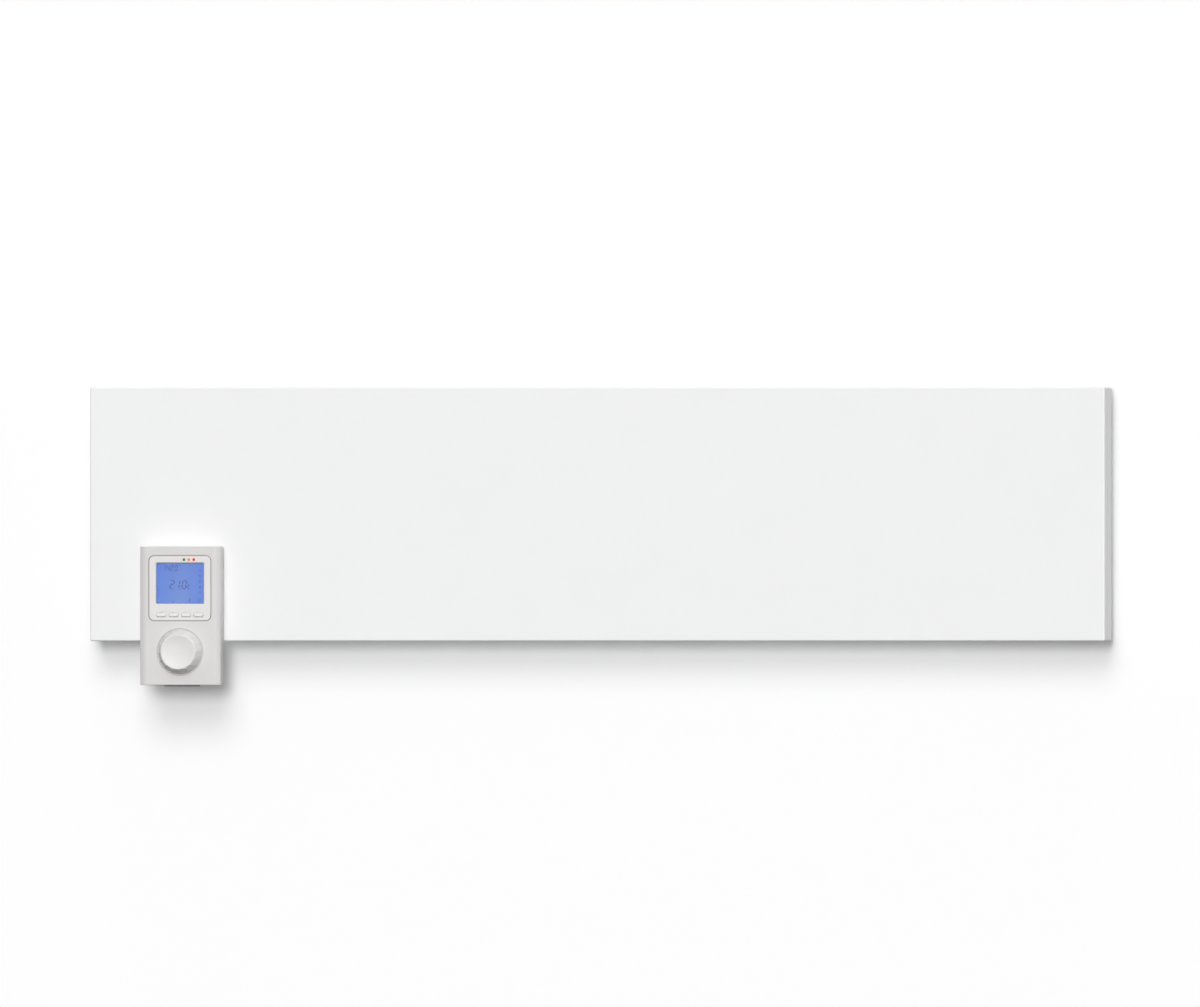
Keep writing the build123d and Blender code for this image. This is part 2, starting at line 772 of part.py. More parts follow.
# Cable gland under the box: threaded body, dome nut and the rubber seal in its bore
gland_top = box_z - box_height / 2
with BuildPart() as cable_gland:
    with BuildSketch(Plane((gland_x, -gland_depth, gland_top))):
        RegularPolygon(gland_flats / 2, 6, major_radius=False)
    extrude(amount=-gland_flange)
    with BuildSketch(Plane((gland_x, -gland_depth, gland_top - gland_flange))):
        Circle(gland_thread / 2)
    extrude(amount=gland_flange + box_wall + gland_neck)
    with BuildSketch(Plane((gland_x, -gland_depth, gland_top - gland_flange))):
        Circle(gland_thread / 2)
    extrude(amount=-gland_neck)
    with BuildSketch(Plane((gland_x, -gland_depth, gland_top - gland_flange - gland_neck))):
        Circle(gland_bore / 2 + gland_seal_wall)
    extrude(amount=2 * gland_neck + gland_flange + box_wall, mode=Mode.SUBTRACT)
cable_gland.part.label = "cable_gland"
export_step(cable_gland.part, "parts/cable_gland.step")

with BuildPart() as gland_nut:
    with BuildSketch(Plane((gland_x, -gland_depth, gland_top - gland_flange - 0.3))):
        RegularPolygon(gland_flats / 2, 6, major_radius=False)
    extrude(amount=-gland_cap)
    with BuildSketch(Plane((gland_x, -gland_depth, gland_top - gland_flange - 0.3))):
        Circle(gland_thread / 2 + fit_play)
    extrude(amount=-gland_neck - 0.5, mode=Mode.SUBTRACT)
    with BuildSketch(Plane((gland_x, -gland_depth, gland_top - gland_flange - 0.3))):
        Circle(gland_bore / 2 + 0.4)
    extrude(amount=-gland_cap, mode=Mode.SUBTRACT)
    chamfer(gland_nut.faces().sort_by(Axis.Z)[0].outer_wire().edges(), 1.4)
gland_nut.part.label = "gland_nut"
export_step(gland_nut.part, "parts/gland_nut.step")

seal_length = gland_neck + 3.0
with BuildPart() as gland_seal:
    with BuildSketch(Plane((gland_x, -gland_depth, gland_top - gland_flange - gland_neck))):
        Circle(gland_bore / 2 + gland_seal_wall - fit_play)
        Circle(gland_bore / 2, mode=Mode.SUBTRACT)
    extrude(amount=seal_length)
gland_seal.part.label = "gland_seal"
export_step(gland_seal.part, "parts/gland_seal.step")

# Two adhesive pads that hold the controller's plate on the panel's face; they stay
# above the panel's lower edge
plate_width = body_width - 2 * plate_margin
plate_top = body_height / 2 - hook_drop
plate_bottom = -body_height / 2 + plate_margin
pad_z = plate_top - pad_height / 2 - 6.0
with BuildPart() as adhesive_pads:
    with BuildSketch(face_plane(casing_front)):
        with Locations((0, pad_z)):
            with GridLocations(plate_width - pad_width - 8.0, 0, 2, 1):
                RectangleRounded(pad_width, pad_height, 2.0)
    extrude(amount=pad_thickness)
adhesive_pads.part.label = "adhesive_pads"
export_step(adhesive_pads.part, "parts/adhesive_pads.step")

# Wall plate of the controller, with two hooks at the top
neck_top = plate_top - hook_play
slot_top = plate_top
hook_low = neck_top - hook_neck
with BuildPart() as wall_plate:
    with BuildSketch(face_plane(pad_front)):
        with Locations((0, (plate_top + plate_bottom) / 2)):
            RectangleRounded(plate_width, plate_top - plate_bottom, 3.0)
            SlotOverall(64, 26, rotation=90, mode=Mode.SUBTRACT)
            with GridLocations(0, 100, 1, 2):
                Circle(2.2, mode=Mode.SUBTRACT)
    extrude(amount=plate_thickness)
    with BuildSketch(face_plane(plate_front)):
        with Locations((0, hook_low)):
            with GridLocations(hook_span, 0, 2, 1):
                Rectangle(hook_width, hook_neck, align=(Align.CENTER, Align.MIN))
    extrude(amount=plate_gap + shell_wall + 1.7)
    with BuildSketch(face_plane(shell_inner_rear + 0.5)):
        with Locations((0, hook_low)):
            with GridLocations(hook_span, 0, 2, 1):
                Rectangle(hook_width, hook_neck + hook_tip, align=(Align.CENTER, Align.MIN))
    extrude(amount=1.2)
wall_plate.part.label = "wall_plate"
export_step(wall_plate.part, "parts/wall_plate.step")

# Rear housing of the controller: floor, low walls, cell cradle, posts and hook slots
inside_width = body_width - 2 * shell_wall
inside_tall = body_height - 2 * shell_wall
boss_span_x = body_width - 2 * boss_inset_x
boss_span_z = body_height - 2 * boss_inset_z
tab_depth = shell_inner_rear + 0.6 + tab_thickness / 2
cradle_half = cell_length / 2 + contact_travel + contact_thickness + 0.5
cell_spots = [cell_row + side * cell_pitch / 2 for side in (-1, 1)]
cell_depth = shell_inner_rear + cell_gap + cell_diameter / 2
with BuildPart() as rear_housing:
    with BuildSketch(face_plane(shell_rear)):
        RectangleRounded(body_width, body_height, shell_corner)
    extrude(amount=rear_shell_depth)
    with BuildSketch(face_plane(shell_inner_rear)):
        Rectangle(inside_width, inside_tall)
    extrude(amount=rear_shell_depth, mode=Mode.SUBTRACT)
    with BuildSketch(face_plane(shell_inner_rear)):
        with GridLocations(boss_span_x, boss_span_z, 2, 2):
            Circle(boss_diameter / 2)
    extrude(amount=rear_shell_depth - shell_wall)
    with BuildSketch(face_plane(shell_inner_rear)):
        with Locations((0, (main_board_low + main_board_high) / 2)):
            with GridLocations(
                main_board_width - 8.0, main_board_high - main_board_low - 12.0, 2, 2
            ):
                Circle(2.5)
    extrude(amount=main_board_rear - shell_inner_rear)
    with BuildSketch(face_plane(shell_inner_rear)):
        for side in (-1, 1):
            with Locations((side * (cradle_half + 0.6), cell_row)):
                Rectangle(1.2, 2 * cell_pitch)
        for cell_z in cell_spots:
            for side in (-1, 1):
                with Locations((side * cell_length / 4, cell_z)):
                    Rectangle(1.2, cell_diameter * 0.5)
    extrude(amount=rear_shell_depth - shell_wall)
    for cell_z in cell_spots:
        cradle_start = (controller_x - cradle_half, -cell_depth, controller_z + cell_z)
        with BuildSketch(Plane(cradle_start, z_dir=(1, 0, 0))):
            Circle(cell_diameter / 2 + 0.15)
        extrude(amount=2 * cradle_half, mode=Mode.SUBTRACT)
    with BuildSketch(face_plane(shell_rear)):
        with GridLocations(boss_span_x, boss_span_z, 2, 2):
            Circle(sheet_screw / 2 + fit_play)
        with Locations((0, slot_top)):
            with GridLocations(hook_span, 0, 2, 1):
                Rectangle(
                    hook_width + 2 * hook_play,
                    hook_neck + hook_tip + 3 * hook_play,
                    align=(Align.CENTER, Align.MAX),
                )
    extrude(amount=rear_shell_depth, mode=Mode.SUBTRACT)
    with BuildSketch(face_plane(shell_rear)):
        with GridLocations(boss_span_x, boss_span_z, 2, 2):
            Circle(sheet_screw_head / 2 + fit_play)
    extrude(amount=sheet_screw_head_height, mode=Mode.SUBTRACT)
    with BuildSketch(Plane((controller_x, -tab_depth, controller_z - body_height / 2))):
        Rectangle(tab_width + 2 * tab_play, tab_thickness + 2 * fit_play)
    extrude(amount=shell_wall, mode=Mode.SUBTRACT)
rear_housing.part.label = "rear_housing"
export_step(rear_housing.part, "parts/rear_housing.step")

# Front housing: its section rolls off along both long edges


def housing_section(half_width, split, front):
    """Closed outline of the front shell across its width, as (x, -depth)."""
    flat_half = half_width - edge_roll
    Line((-half_width, -split), (half_width, -split))
    Line((half_width, -split), (half_width, -(front - edge_drop)))
    TangentArc((flat_half, -front), (half_width, -(front - edge_drop)), tangent=(1, 0))
    Line((flat_half, -front), (-flat_half, -front))
    TangentArc((-flat_half, -front), (-half_width, -(front - edge_drop)), tangent=(-1, 0))
    Line((-half_width, -(front - edge_drop)), (-half_width, -split))


opening_width = insert_width + 2 * insert_groove
opening_height = insert_height + 2 * insert_groove
with BuildPart() as front_housing:
    with BuildSketch(Plane((controller_x, 0, controller_z - body_height / 2))):
        with BuildLine():
            housing_section(body_width / 2, shell_split, shell_front)
        make_face()
    extrude(amount=body_height)
    ends = front_housing.faces().filter_by(Axis.Z)
    rim_edges = [edge for end in ends for edge in end.edges().sort_by(Axis.Y)[:-1]]
    side_ridges = front_housing.edges().filter_by(Axis.Z).group_by(Axis.Y)[1]
    fillet(rim_edges + list(side_ridges), edge_round)
    with BuildSketch(Plane((controller_x, 0, controller_z - inside_tall / 2))):
        with BuildLine():
            housing_section(inside_width / 2, shell_split, shell_inner_front)
        make_face()
    extrude(amount=inside_tall, mode=Mode.SUBTRACT)
    with BuildSketch(face_plane(shell_split)):
        with GridLocations(boss_span_x, boss_span_z, 2, 2):
            Circle(boss_diameter / 2)
            Circle(sheet_screw / 2 + fit_play, mode=Mode.SUBTRACT)
    extrude(amount=shell_inner_front - shell_split)
    with BuildSketch(face_plane(shell_inner_front - ledge_thickness)):
        with Locations((0, insert_rise)):
            RectangleRounded(
                opening_width + 2 * shell_wall, opening_height + 2 * shell_wall, insert_corner
            )
    extrude(amount=ledge_thickness)
    with BuildSketch(face_plane(shell_inner_front - ledge_thickness)):
        with Locations((0, insert_rise)):
            RectangleRounded(
                insert_width - 2 * insert_ledge,
                insert_height - 2 * insert_ledge,
                insert_corner - insert_ledge,
            )
    extrude(amount=ledge_thickness + shell_wall, mode=Mode.SUBTRACT)
    with BuildSketch(face_plane(shell_front - insert_thickness)):
        with Locations((0, insert_rise)):
            RectangleRounded(opening_width, opening_height, insert_corner + insert_groove)
    extrude(amount=insert_thickness, mode=Mode.SUBTRACT)
    with BuildSketch(knob_plane(shell_front - recess_depth)):
        Circle(knob_diameter / 2 + recess_play)
    extrude(amount=recess_depth, mode=Mode.SUBTRACT)
    with BuildSketch(knob_plane(shell_inner_front)):
        Circle(bushing_diameter / 2 + 0.15)
    extrude(amount=shell_wall, mode=Mode.SUBTRACT)
front_housing.part.label = "front_housing"
export_step(front_housing.part, "parts/front_housing.step")

# Display insert: plate with the window, the light holes and the key holes
key_spots = [(key - (key_count - 1) / 2) * key_pitch for key in range(key_count)]
light_spots = [light_offset + step * light_pitch for step in (-1, 0, 1)]
with BuildPart() as display_insert:
    with BuildSketch(face_plane(shell_front - insert_thickness)):
        with Locations((0, insert_rise)):
            RectangleRounded(insert_width, insert_height, insert_corner)
    extrude(amount=insert_thickness)
    chamfer(display_insert.faces().sort_by(Axis.Y)[0].edges(), 0.4)
    with BuildSketch(face_plane(shell_front - insert_thickness)):
        with Locations((0, window_rise)):
            RectangleRounded(window_width, window_height, window_corner)
    extrude(amount=insert_thickness, mode=Mode.SUBTRACT)
    chamfer(display_insert.faces().sort_by(Axis.Y)[0].inner_wires().edges(), window_bevel)
    with BuildSketch(face_plane(shell_front - insert_thickness)):
        with Locations(*[(x, key_rise) for x in key_spots]):
            RectangleRounded(
                key_width + 2 * key_play, key_height + 2 * key_play, key_height / 2 - 0.2
            )
        with Locations(*[(x, light_rise) for x in light_spots]):
            RectangleRounded(light_size, light_size, 0.6)
    extrude(amount=insert_thickness, mode=Mode.SUBTRACT)
display_insert.part.label = "display_insert"
export_step(display_insert.part, "parts/display_insert.step")

# Display stack behind the window, front to back: clear pane, liquid crystal cell, backlight
stack_width = window_width + 2 * glass_overlap
stack_height = window_height + 2 * glass_overlap
for node, depth, thickness in (
    ("display_window", glass_rear, glass_thickness),
    ("lcd_cell", lcd_rear, cell_thickness),
    ("backlight_plate", main_board_front, backlight_thickness),
):
    with BuildPart() as pane:
        with BuildSketch(face_plane(depth)):
            with Locations((0, window_rise)):
                Rectangle(stack_width, stack_height)
        extrude(amount=thickness)
    pane.part.label = node
    export_step(pane.part, f"parts/{node}.step")

# Status lights: three light pipes from the board to the insert's face
for node, light_x in zip(("green_light", "amber_light", "red_light"), light_spots):
    with BuildPart() as light:
        with BuildSketch(face_plane(main_board_front)):
            with Locations((light_x, light_rise)):
                RectangleRounded(light_size - 2 * fit_play, light_size - 2 * fit_play, 0.6)
        extrude(amount=shell_front - main_board_front)
    light.part.label = node
    export_step(light.part, f"parts/{node}.step")

# Keys: caps through the insert, held by a flange, with a stem over each switch
flange_front = shell_front - insert_thickness - 0.3
stem_end = main_board_front + switch_height + 0.2
for key, key_x in enumerate(key_spots):
    with BuildPart() as key_cap:
        with BuildSketch(face_plane(flange_front)):
            with Locations((key_x, key_rise)):
                RectangleRounded(key_width, key_height, key_height / 2 - 0.3)
        extrude(amount=shell_front + key_proud - flange_front)
        fillet(key_cap.faces().sort_by(Axis.Y)[0].edges(), 0.5)
        with BuildSketch(face_plane(flange_front - key_flange)):
            with Locations((key_x, key_rise)):
                Rectangle(key_width + 2.0, key_height + 2.0)
        extrude(amount=key_flange)
        with BuildSketch(face_plane(stem_end)):
            with Locations((key_x, key_rise)):
                Circle(key_stem / 2)
        extrude(amount=flange_front - key_flange - stem_end)
    key_cap.part.label = f"key_{key + 1}"
    export_step(key_cap.part, f"parts/key_{key + 1}.step")

# Push switches on the board, each with a well that the stem enters
with BuildPart() as key_switches:
    with BuildSketch(face_plane(main_board_front)):
        with Locations(*[(x, key_rise) for x in key_spots]):
            RectangleRounded(switch_size, switch_size, 0.5)
    extrude(amount=switch_height)
    with BuildSketch(face_plane(main_board_front + switch_height)):
        with Locations(*[(x, key_rise) for x in key_spots]):
            Circle(key_stem / 2 + key_play)
    extrude(amount=-key_travel - 0.3, mode=Mode.SUBTRACT)
key_switches.part.label = "key_switches"
export_step(key_switches.part, "parts/key_switches.step")

# Main board and the chips, coil and aerial on its back
with BuildPart() as main_board:
    with BuildSketch(face_plane(main_board_rear)):
        with Locations((0, (main_board_low + main_board_high) / 2)):
            RectangleRounded(main_board_width, main_board_high - main_board_low, 1.0)
    extrude(amount=board_sheet)
main_board.part.label = "main_board"
export_step(main_board.part, "parts/main_board.step")

with BuildPart() as board_parts:
    with BuildSketch(face_plane(main_board_rear - 1.6)):
        with Locations((-14, 30)):
            Rectangle(14, 14)
        with Locations((18, 28)):
            Rectangle(8, 6)
        with Locations((16, -8)):
            Rectangle(17, 13)
        with Locations((-20, -14)):
            Rectangle(6, 9)
    extrude(amount=1.6)
    with BuildSketch(face_plane(main_board_rear - 4.5)):
        with Locations((-4, -30), (6, -30)):
            Circle(3.2)
    extrude(amount=4.5)
board_parts.part.label = "board_parts"
export_step(board_parts.part, "parts/board_parts.step")

# Rotary encoder: square can and threaded bushing, bored for the shaft
encoder_height = shell_inner_front - main_board_front
with BuildPart() as rotary_encoder:
    with BuildSketch(knob_plane(main_board_front)):
        RectangleRounded(encoder_size, encoder_size, 0.8)
    extrude(amount=encoder_height)
    with BuildSketch(knob_plane(shell_inner_front)):
        Circle(bushing_diameter / 2)
    extrude(amount=bushing_length)
    with BuildSketch(knob_plane(main_board_front + 1.0)):
        Circle(shaft_diameter / 2 + fit_play)
    extrude(amount=encoder_height + bushing_length, mode=Mode.SUBTRACT)
rotary_encoder.part.label = "rotary_encoder"
export_step(rotary_encoder.part, "parts/rotary_encoder.step")

with BuildPart() as encoder_nut:
    with BuildSketch(knob_plane(shell_front - recess_depth)):
        RegularPolygon(encoder_nut_flats / 2, 6, major_radius=False)
        Circle(bushing_diameter / 2 + fit_play, mode=Mode.SUBTRACT)
    extrude(amount=encoder_nut_height)
encoder_nut.part.label = "encoder_nut"
export_step(encoder_nut.part, "parts/encoder_nut.step")

# Dial knob: hollow cone with a ribbed skirt, a dished face and a hub for the shaft
knob_rear = shell_front - recess_depth + knob_gap
knob_front = knob_rear + knob_height
hub_rear = shell_inner_front + bushing_length + 0.6
knob_ceiling = knob_front - knob_dish - knob_wall
hub_diameter = shaft_diameter + 2 * hub_wall
knob_slope = (knob_diameter - knob_face_diameter) / 2 / knob_height
rib_root = knob_diameter / 2 - knob_rib
face_root = knob_face_diameter / 2 - knob_rib
dish_radius = face_root - 2 * knob_rim
shaft_bore = shaft_diameter / 2 + fit_play
shaft_flat = shaft_diameter / 4
with BuildPart() as grip_ribs:
    with BuildSketch(knob_plane(knob_rear + knob_rim)):
        Circle(knob_diameter / 2 - knob_slope * knob_rim)
    with BuildSketch(knob_plane(knob_front - knob_rim)):
        Circle(knob_face_diameter / 2 + knob_slope * knob_rim)
    loft(ruled=True)
    with BuildSketch(knob_plane(knob_rear)):
        with PolarLocations(face_root - knob_wall / 2, knob_ribs):
            Rectangle(knob_diameter, knob_rib_width, align=(Align.MIN, Align.CENTER))
    extrude(amount=knob_height, mode=Mode.INTERSECT)
with BuildPart() as dial_knob:
    knob_section = Plane(
        (controller_x, 0, controller_z - knob_drop), x_dir=(1, 0, 0), z_dir=(0, 0, -1)
    )
    with BuildSketch(knob_section):
        with BuildLine():
            SagittaArc(
                (-dish_radius, knob_front), (dish_radius, knob_front), -knob_dish
            )
            Line((dish_radius, knob_front), (face_root, knob_front))
            Polyline(
                (face_root, knob_front),
                (rib_root, knob_rear),
                (rib_root - knob_wall, knob_rear),
                (face_root - knob_wall, knob_ceiling),
                (hub_diameter / 2, knob_ceiling),
                (hub_diameter / 2, hub_rear),
                (-hub_diameter / 2, hub_rear),
                (-hub_diameter / 2, knob_ceiling),
                (-face_root + knob_wall, knob_ceiling),
                (-rib_root + knob_wall, knob_rear),
                (-rib_root, knob_rear),
                (-face_root, knob_front),
                (-dish_radius, knob_front),
            )
        make_face()
        with Locations((-knob_diameter / 2, (knob_rear + knob_front) / 2)):
            Rectangle(knob_diameter, 2 * knob_height, mode=Mode.SUBTRACT)
    knob_axis = Axis((controller_x, 0, controller_z - knob_drop), (0, -1, 0))
    revolve(axis=knob_axis)
    fillet(dial_knob.edges().filter_by(GeomType.CIRCLE).sort_by(Axis.Y)[0:1], knob_rim)
    add(grip_ribs.part)
    with BuildSketch(knob_plane(hub_rear)):
        Circle(shaft_bore)
        with Locations((0, shaft_flat + fit_play)):
            Rectangle(
                shaft_diameter * 2,
                shaft_diameter,
                align=(Align.CENTER, Align.MIN),
                mode=Mode.SUBTRACT,
            )
    extrude(amount=knob_ceiling - hub_rear, mode=Mode.SUBTRACT)
dial_knob.part.label = "dial_knob"
export_step(dial_knob.part, "parts/dial_knob.step")

# Knob shaft: turns in the bushing and drives the hub by its flat
with BuildPart() as knob_shaft:
    with BuildSketch(knob_plane(main_board_front + 1.2)):
        Circle(shaft_diameter / 2)
    extrude(amount=knob_ceiling - 0.2 - main_board_front - 1.2)
    with BuildSketch(knob_plane(hub_rear - 0.3)):
        with Locations((0, shaft_flat)):
            Rectangle(
                shaft_diameter * 2, shaft_diameter, align=(Align.CENTER, Align.MIN)
            )
    extrude(amount=knob_height, mode=Mode.SUBTRACT)
knob_shaft.part.label = "knob_shaft"
export_step(knob_shaft.part, "parts/knob_shaft.step")

# Two cells in the cradle, each with its raised terminal at the right
with BuildPart() as battery_cells:
    for cell_z in cell_spots:
        cell_start = (controller_x - cell_length / 2, -cell_depth, controller_z + cell_z)
        with BuildSketch(Plane(cell_start, z_dir=(1, 0, 0))):
            Circle(cell_diameter / 2)
        extrude(amount=cell_length - 1.0)
        with BuildSketch(Plane(cell_start, z_dir=(1, 0, 0)).offset(cell_length - 1.0)):
            Circle(cell_diameter * 0.18)
        extrude(amount=1.0)
battery_cells.part.label = "battery_cells"
export_step(battery_cells.part, "parts/battery_cells.step")

# Contacts: plates against the cradle's end walls, each with a spring cone or a dome
with BuildPart() as battery_contacts:
    for side in (-1, 1):
        plate_x = controller_x + side * cradle_half
        plate_spot = (plate_x, -cell_depth, controller_z + cell_row)
        with BuildSketch(Plane(plate_spot, x_dir=(0, 1, 0), z_dir=(-side, 0, 0))):
            Rectangle(cell_diameter * 0.8, cell_pitch + cell_diameter * 0.6)
        extrude(amount=contact_thickness)
        for cell_z in cell_spots:
            with BuildSketch(
                Plane((plate_x, -cell_depth, controller_z + cell_z), z_dir=(-side, 0, 0))
            ):
                Circle(cell_diameter * 0.3)
            extrude(amount=contact_thickness + contact_travel + 0.4, taper=12)
battery_contacts.part.label = "battery_contacts"
export_step(battery_contacts.part, "parts/battery_contacts.step")

# Room sensor: a bead on two legs under the board, near the vents
with BuildPart() as room_sensor:
    sensor_spot = (controller_x + 34.0, -main_board_rear, controller_z + main_board_low + 6.0)
    for side in (-1, 1):
        with BuildSketch(
            Plane((sensor_spot[0] + side * 1.2, sensor_spot[1], sensor_spot[2]), z_dir=(0, 1, 0))
        ):
            Circle(0.3)
        extrude(amount=3.0)
    with BuildSketch(
        Plane((sensor_spot[0], sensor_spot[1] + 3.0, sensor_spot[2]), z_dir=(0, 1, 0))
    ):
        Ellipse(2.0, 1.4)
    extrude(amount=2.2)
room_sensor.part.label = "room_sensor"
export_step(room_sensor.part, "parts/room_sensor.step")

# Housing screws, driven from the back into the front shell's bosses
housing_screw = screw_solid(
    sheet_screw_head, sheet_screw_head_height - 0.2, sheet_screw, shell_split - shell_rear + 4.0
)
with BuildPart() as housing_screws:
    with Locations(
        *[
            facing_wall(
                controller_x + side_x * boss_span_x / 2,
                shell_rear + sheet_screw_head_height,
                controller_z + side_z * boss_span_z / 2,
            )
            for side_x in (-1, 1)
            for side_z in (-1, 1)
        ]
    ):
        add(housing_screw)
housing_screws.part.label = "housing_screws"
export_step(housing_screws.part, "parts/housing_screws.step")

# Release tab: a push piece in the bottom wall, kept in by a wider flange inside
with BuildPart() as release_tab:
    tab_bottom = -body_height / 2 - tab_proud
    flange_low = -body_height / 2 + shell_wall + tab_play
    with BuildSketch(Plane((controller_x, -tab_depth, controller_z + tab_bottom))):
        RectangleRounded(tab_width, tab_thickness, 0.8)
    extrude(amount=flange_low - tab_bottom)
    fillet(release_tab.faces().sort_by(Axis.Z)[0].edges(), 0.4)
    with BuildSketch(Plane((controller_x, -tab_depth, controller_z + flange_low))):
        Rectangle(tab_width + 2 * tab_flange, tab_thickness)
    extrude(amount=tab_flange_height)
release_tab.part.label = "release_tab"
export_step(release_tab.part, "parts/release_tab.step")
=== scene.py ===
# %% [markdown]
# # A wall panel heater and its room controller
# The heater is a flat powder-coated steel tray with a heating film behind its face, and a small
# controller with a lit display, four keys and a big dial is stuck on its lower left corner. The
# frame already holds every piece at its true size, so this lesson adds the looks: finishes for
# the carried-over pieces, and new meshes where the frame's plain solid is too simple.

# %% Load the frame
import json
import math
import bmesh
import bpy
from mathutils import Matrix, Vector


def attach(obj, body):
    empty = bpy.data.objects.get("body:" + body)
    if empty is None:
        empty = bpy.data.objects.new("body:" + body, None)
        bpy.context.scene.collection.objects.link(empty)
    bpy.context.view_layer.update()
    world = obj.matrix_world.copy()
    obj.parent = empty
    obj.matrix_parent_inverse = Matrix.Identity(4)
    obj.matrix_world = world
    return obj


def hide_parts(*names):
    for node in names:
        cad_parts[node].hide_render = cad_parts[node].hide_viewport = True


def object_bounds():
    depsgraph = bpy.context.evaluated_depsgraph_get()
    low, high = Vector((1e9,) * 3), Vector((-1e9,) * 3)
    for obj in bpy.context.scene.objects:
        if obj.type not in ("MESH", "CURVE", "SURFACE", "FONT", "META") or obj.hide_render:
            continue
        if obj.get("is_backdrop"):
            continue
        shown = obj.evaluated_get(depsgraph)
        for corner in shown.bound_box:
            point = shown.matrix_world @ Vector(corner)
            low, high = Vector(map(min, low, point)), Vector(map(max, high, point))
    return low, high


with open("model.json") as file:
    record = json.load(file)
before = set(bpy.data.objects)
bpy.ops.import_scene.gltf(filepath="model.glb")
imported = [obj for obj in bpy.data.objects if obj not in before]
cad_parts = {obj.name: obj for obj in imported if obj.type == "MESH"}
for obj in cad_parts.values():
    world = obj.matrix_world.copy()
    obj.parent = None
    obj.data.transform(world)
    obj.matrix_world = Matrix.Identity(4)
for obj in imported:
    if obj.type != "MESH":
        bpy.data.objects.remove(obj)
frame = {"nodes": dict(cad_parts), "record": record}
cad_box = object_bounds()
print("pieces in the frame:", len(frame["nodes"]))

# %% [markdown]
# ## Where things are
# The panel hangs on a wall that is the plane y = 0, and the room is on the side of negative y.
# The controller's drawing measures in millimetres from the middle of its face: across, up, and
# out from the wall. One helper turns such a measure into a point of the frame, so that every
# new piece below can be read off like a drawing.

# %% The controller's drawing frame
MM = 0.001
CONTROLLER_X = -489.0
CONTROLLER_Z = -118.0
INSERT_FRONT = 86.0


def at(across, up, out):
    """A point on the controller, from millimetres across, up and out from the wall."""
    return Vector((CONTROLLER_X + across, -out, CONTROLLER_Z + up)) * MM


print("controller face centre:", tuple(round(value, 4) for value in at(0, 0, INSERT_FRONT)))

# %% [markdown]
# ## From a drawing to a finished piece
# Each new mesh is started in bmesh and ends the same way: doubles are merged, the faces are
# turned outwards, and faces that meet at a shallow angle are shaded smooth while real corners
# stay sharp. One helper does that for all of them.

# %% Turn a bmesh into a piece
SMOOTH_ANGLE = math.radians(32)
MERGE_DISTANCE = 1e-6


def add_object(name, data):
    """A new object in the scene."""
    thing = bpy.data.objects.new(name, data)
    bpy.context.scene.collection.objects.link(thing)
    return thing


def mesh_object(form, name, finish):
    """A new object with the bmesh as its mesh."""
    mesh = bpy.data.meshes.new(name)
    form.to_mesh(mesh)
    form.free()
    mesh.materials.append(finish)
    return add_object(name, mesh)


def make_piece(form, name, finish, body, stands_for=(), flat=False):
    """Closes the bmesh, shades it, and lets it ride on a body of the frame."""
    bmesh.ops.remove_doubles(form, verts=form.verts, dist=MERGE_DISTANCE)
    bmesh.ops.recalc_face_normals(form, faces=form.faces)
    piece = mesh_object(form, name, finish)
    if not flat:
        piece.data.shade_smooth()
        piece.data.set_sharp_from_angle(angle=SMOOTH_ANGLE)
    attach(piece, body)
    if stands_for:
        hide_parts(*stands_for)
    print(name, "has", len(piece.data.polygons), "faces")


# %% [markdown]
# ## Building shader trees
# A shader tree is nodes whose sockets are either joined to another node or set to a number. The
# helpers here take either for any input, so that a tree can be written from its inputs to its
# output, like a sum. Most of them hand back the socket that the next one needs.

# %% Helpers for nodes
def feed(tree, socket, value):
    """Joins another socket to this one, or sets it to a plain value."""
    if isinstance(value, bpy.types.NodeSocket):
        tree.links.new(value, socket)
    else:
        socket.default_value = value


def feed_all(tree, node, **inputs):
    """Feeds a node's inputs by name, with a space written as an underscore."""
    for label, value in inputs.items():
        feed(tree, node.inputs[label.replace("_", " ")], value)
    return node


def add_node(tree, kind, **inputs):
    """A shader node, with its named inputs fed."""
    return feed_all(tree, tree.nodes.new("ShaderNode" + kind), **inputs)


def math_node(tree, operation, first, second):
    """The value of a Math node."""
    node = add_node(tree, "Math")
    node.operation = operation
    feed(tree, node.inputs[0], first)
    feed(tree, node.inputs[1], second)
    return node.outputs["Value"]


def vector_node(tree, operation, first, second=None):
    """The result of a Vector Math node: a vector, or a value for a length."""
    node = add_node(tree, "VectorMath")
    node.operation = operation
    feed(tree, node.inputs[0], first)
    if second is not None:
        feed(tree, node.inputs["Scale" if operation == "SCALE" else 1], second)
    return node.outputs["Value" if operation == "LENGTH" else "Vector"]


def remap(tree, value, low, high, to_low=0.0, to_high=1.0):
    """A value moved from one range to another."""
    node = add_node(
        tree, "MapRange", Value=value, From_Min=low, From_Max=high, To_Min=to_low, To_Max=to_high
    )
    return node.outputs["Result"]


def mix_colours(tree, share, first, second, kind="MIX"):
    """Two colours blended or multiplied."""
    node = add_node(tree, "Mix")
    node.data_type = "RGBA"
    node.blend_type = kind
    feed(tree, node.inputs["Factor"], share)
    ends = [socket for socket in node.inputs if socket.type == "RGBA"]
    feed(tree, ends[0], first)
    feed(tree, ends[1], second)
    return next(socket for socket in node.outputs if socket.type == "RGBA")


def noise_in(tree, scale, detail=2.0, stretch=(1.0, 1.0, 1.0), offset=0.0):
    """Noise on object coordinates, stretched along the axes."""
    place = add_node(tree, "TexCoord").outputs["Object"]
    mapping = add_node(
        tree, "Mapping", Vector=place, Location=(offset, offset, offset), Scale=stretch
    )
    noise = add_node(
        tree, "TexNoise", Vector=mapping.outputs["Vector"], Scale=scale, Detail=detail
    )
    return noise.outputs["Fac"]


print("node helpers are ready")

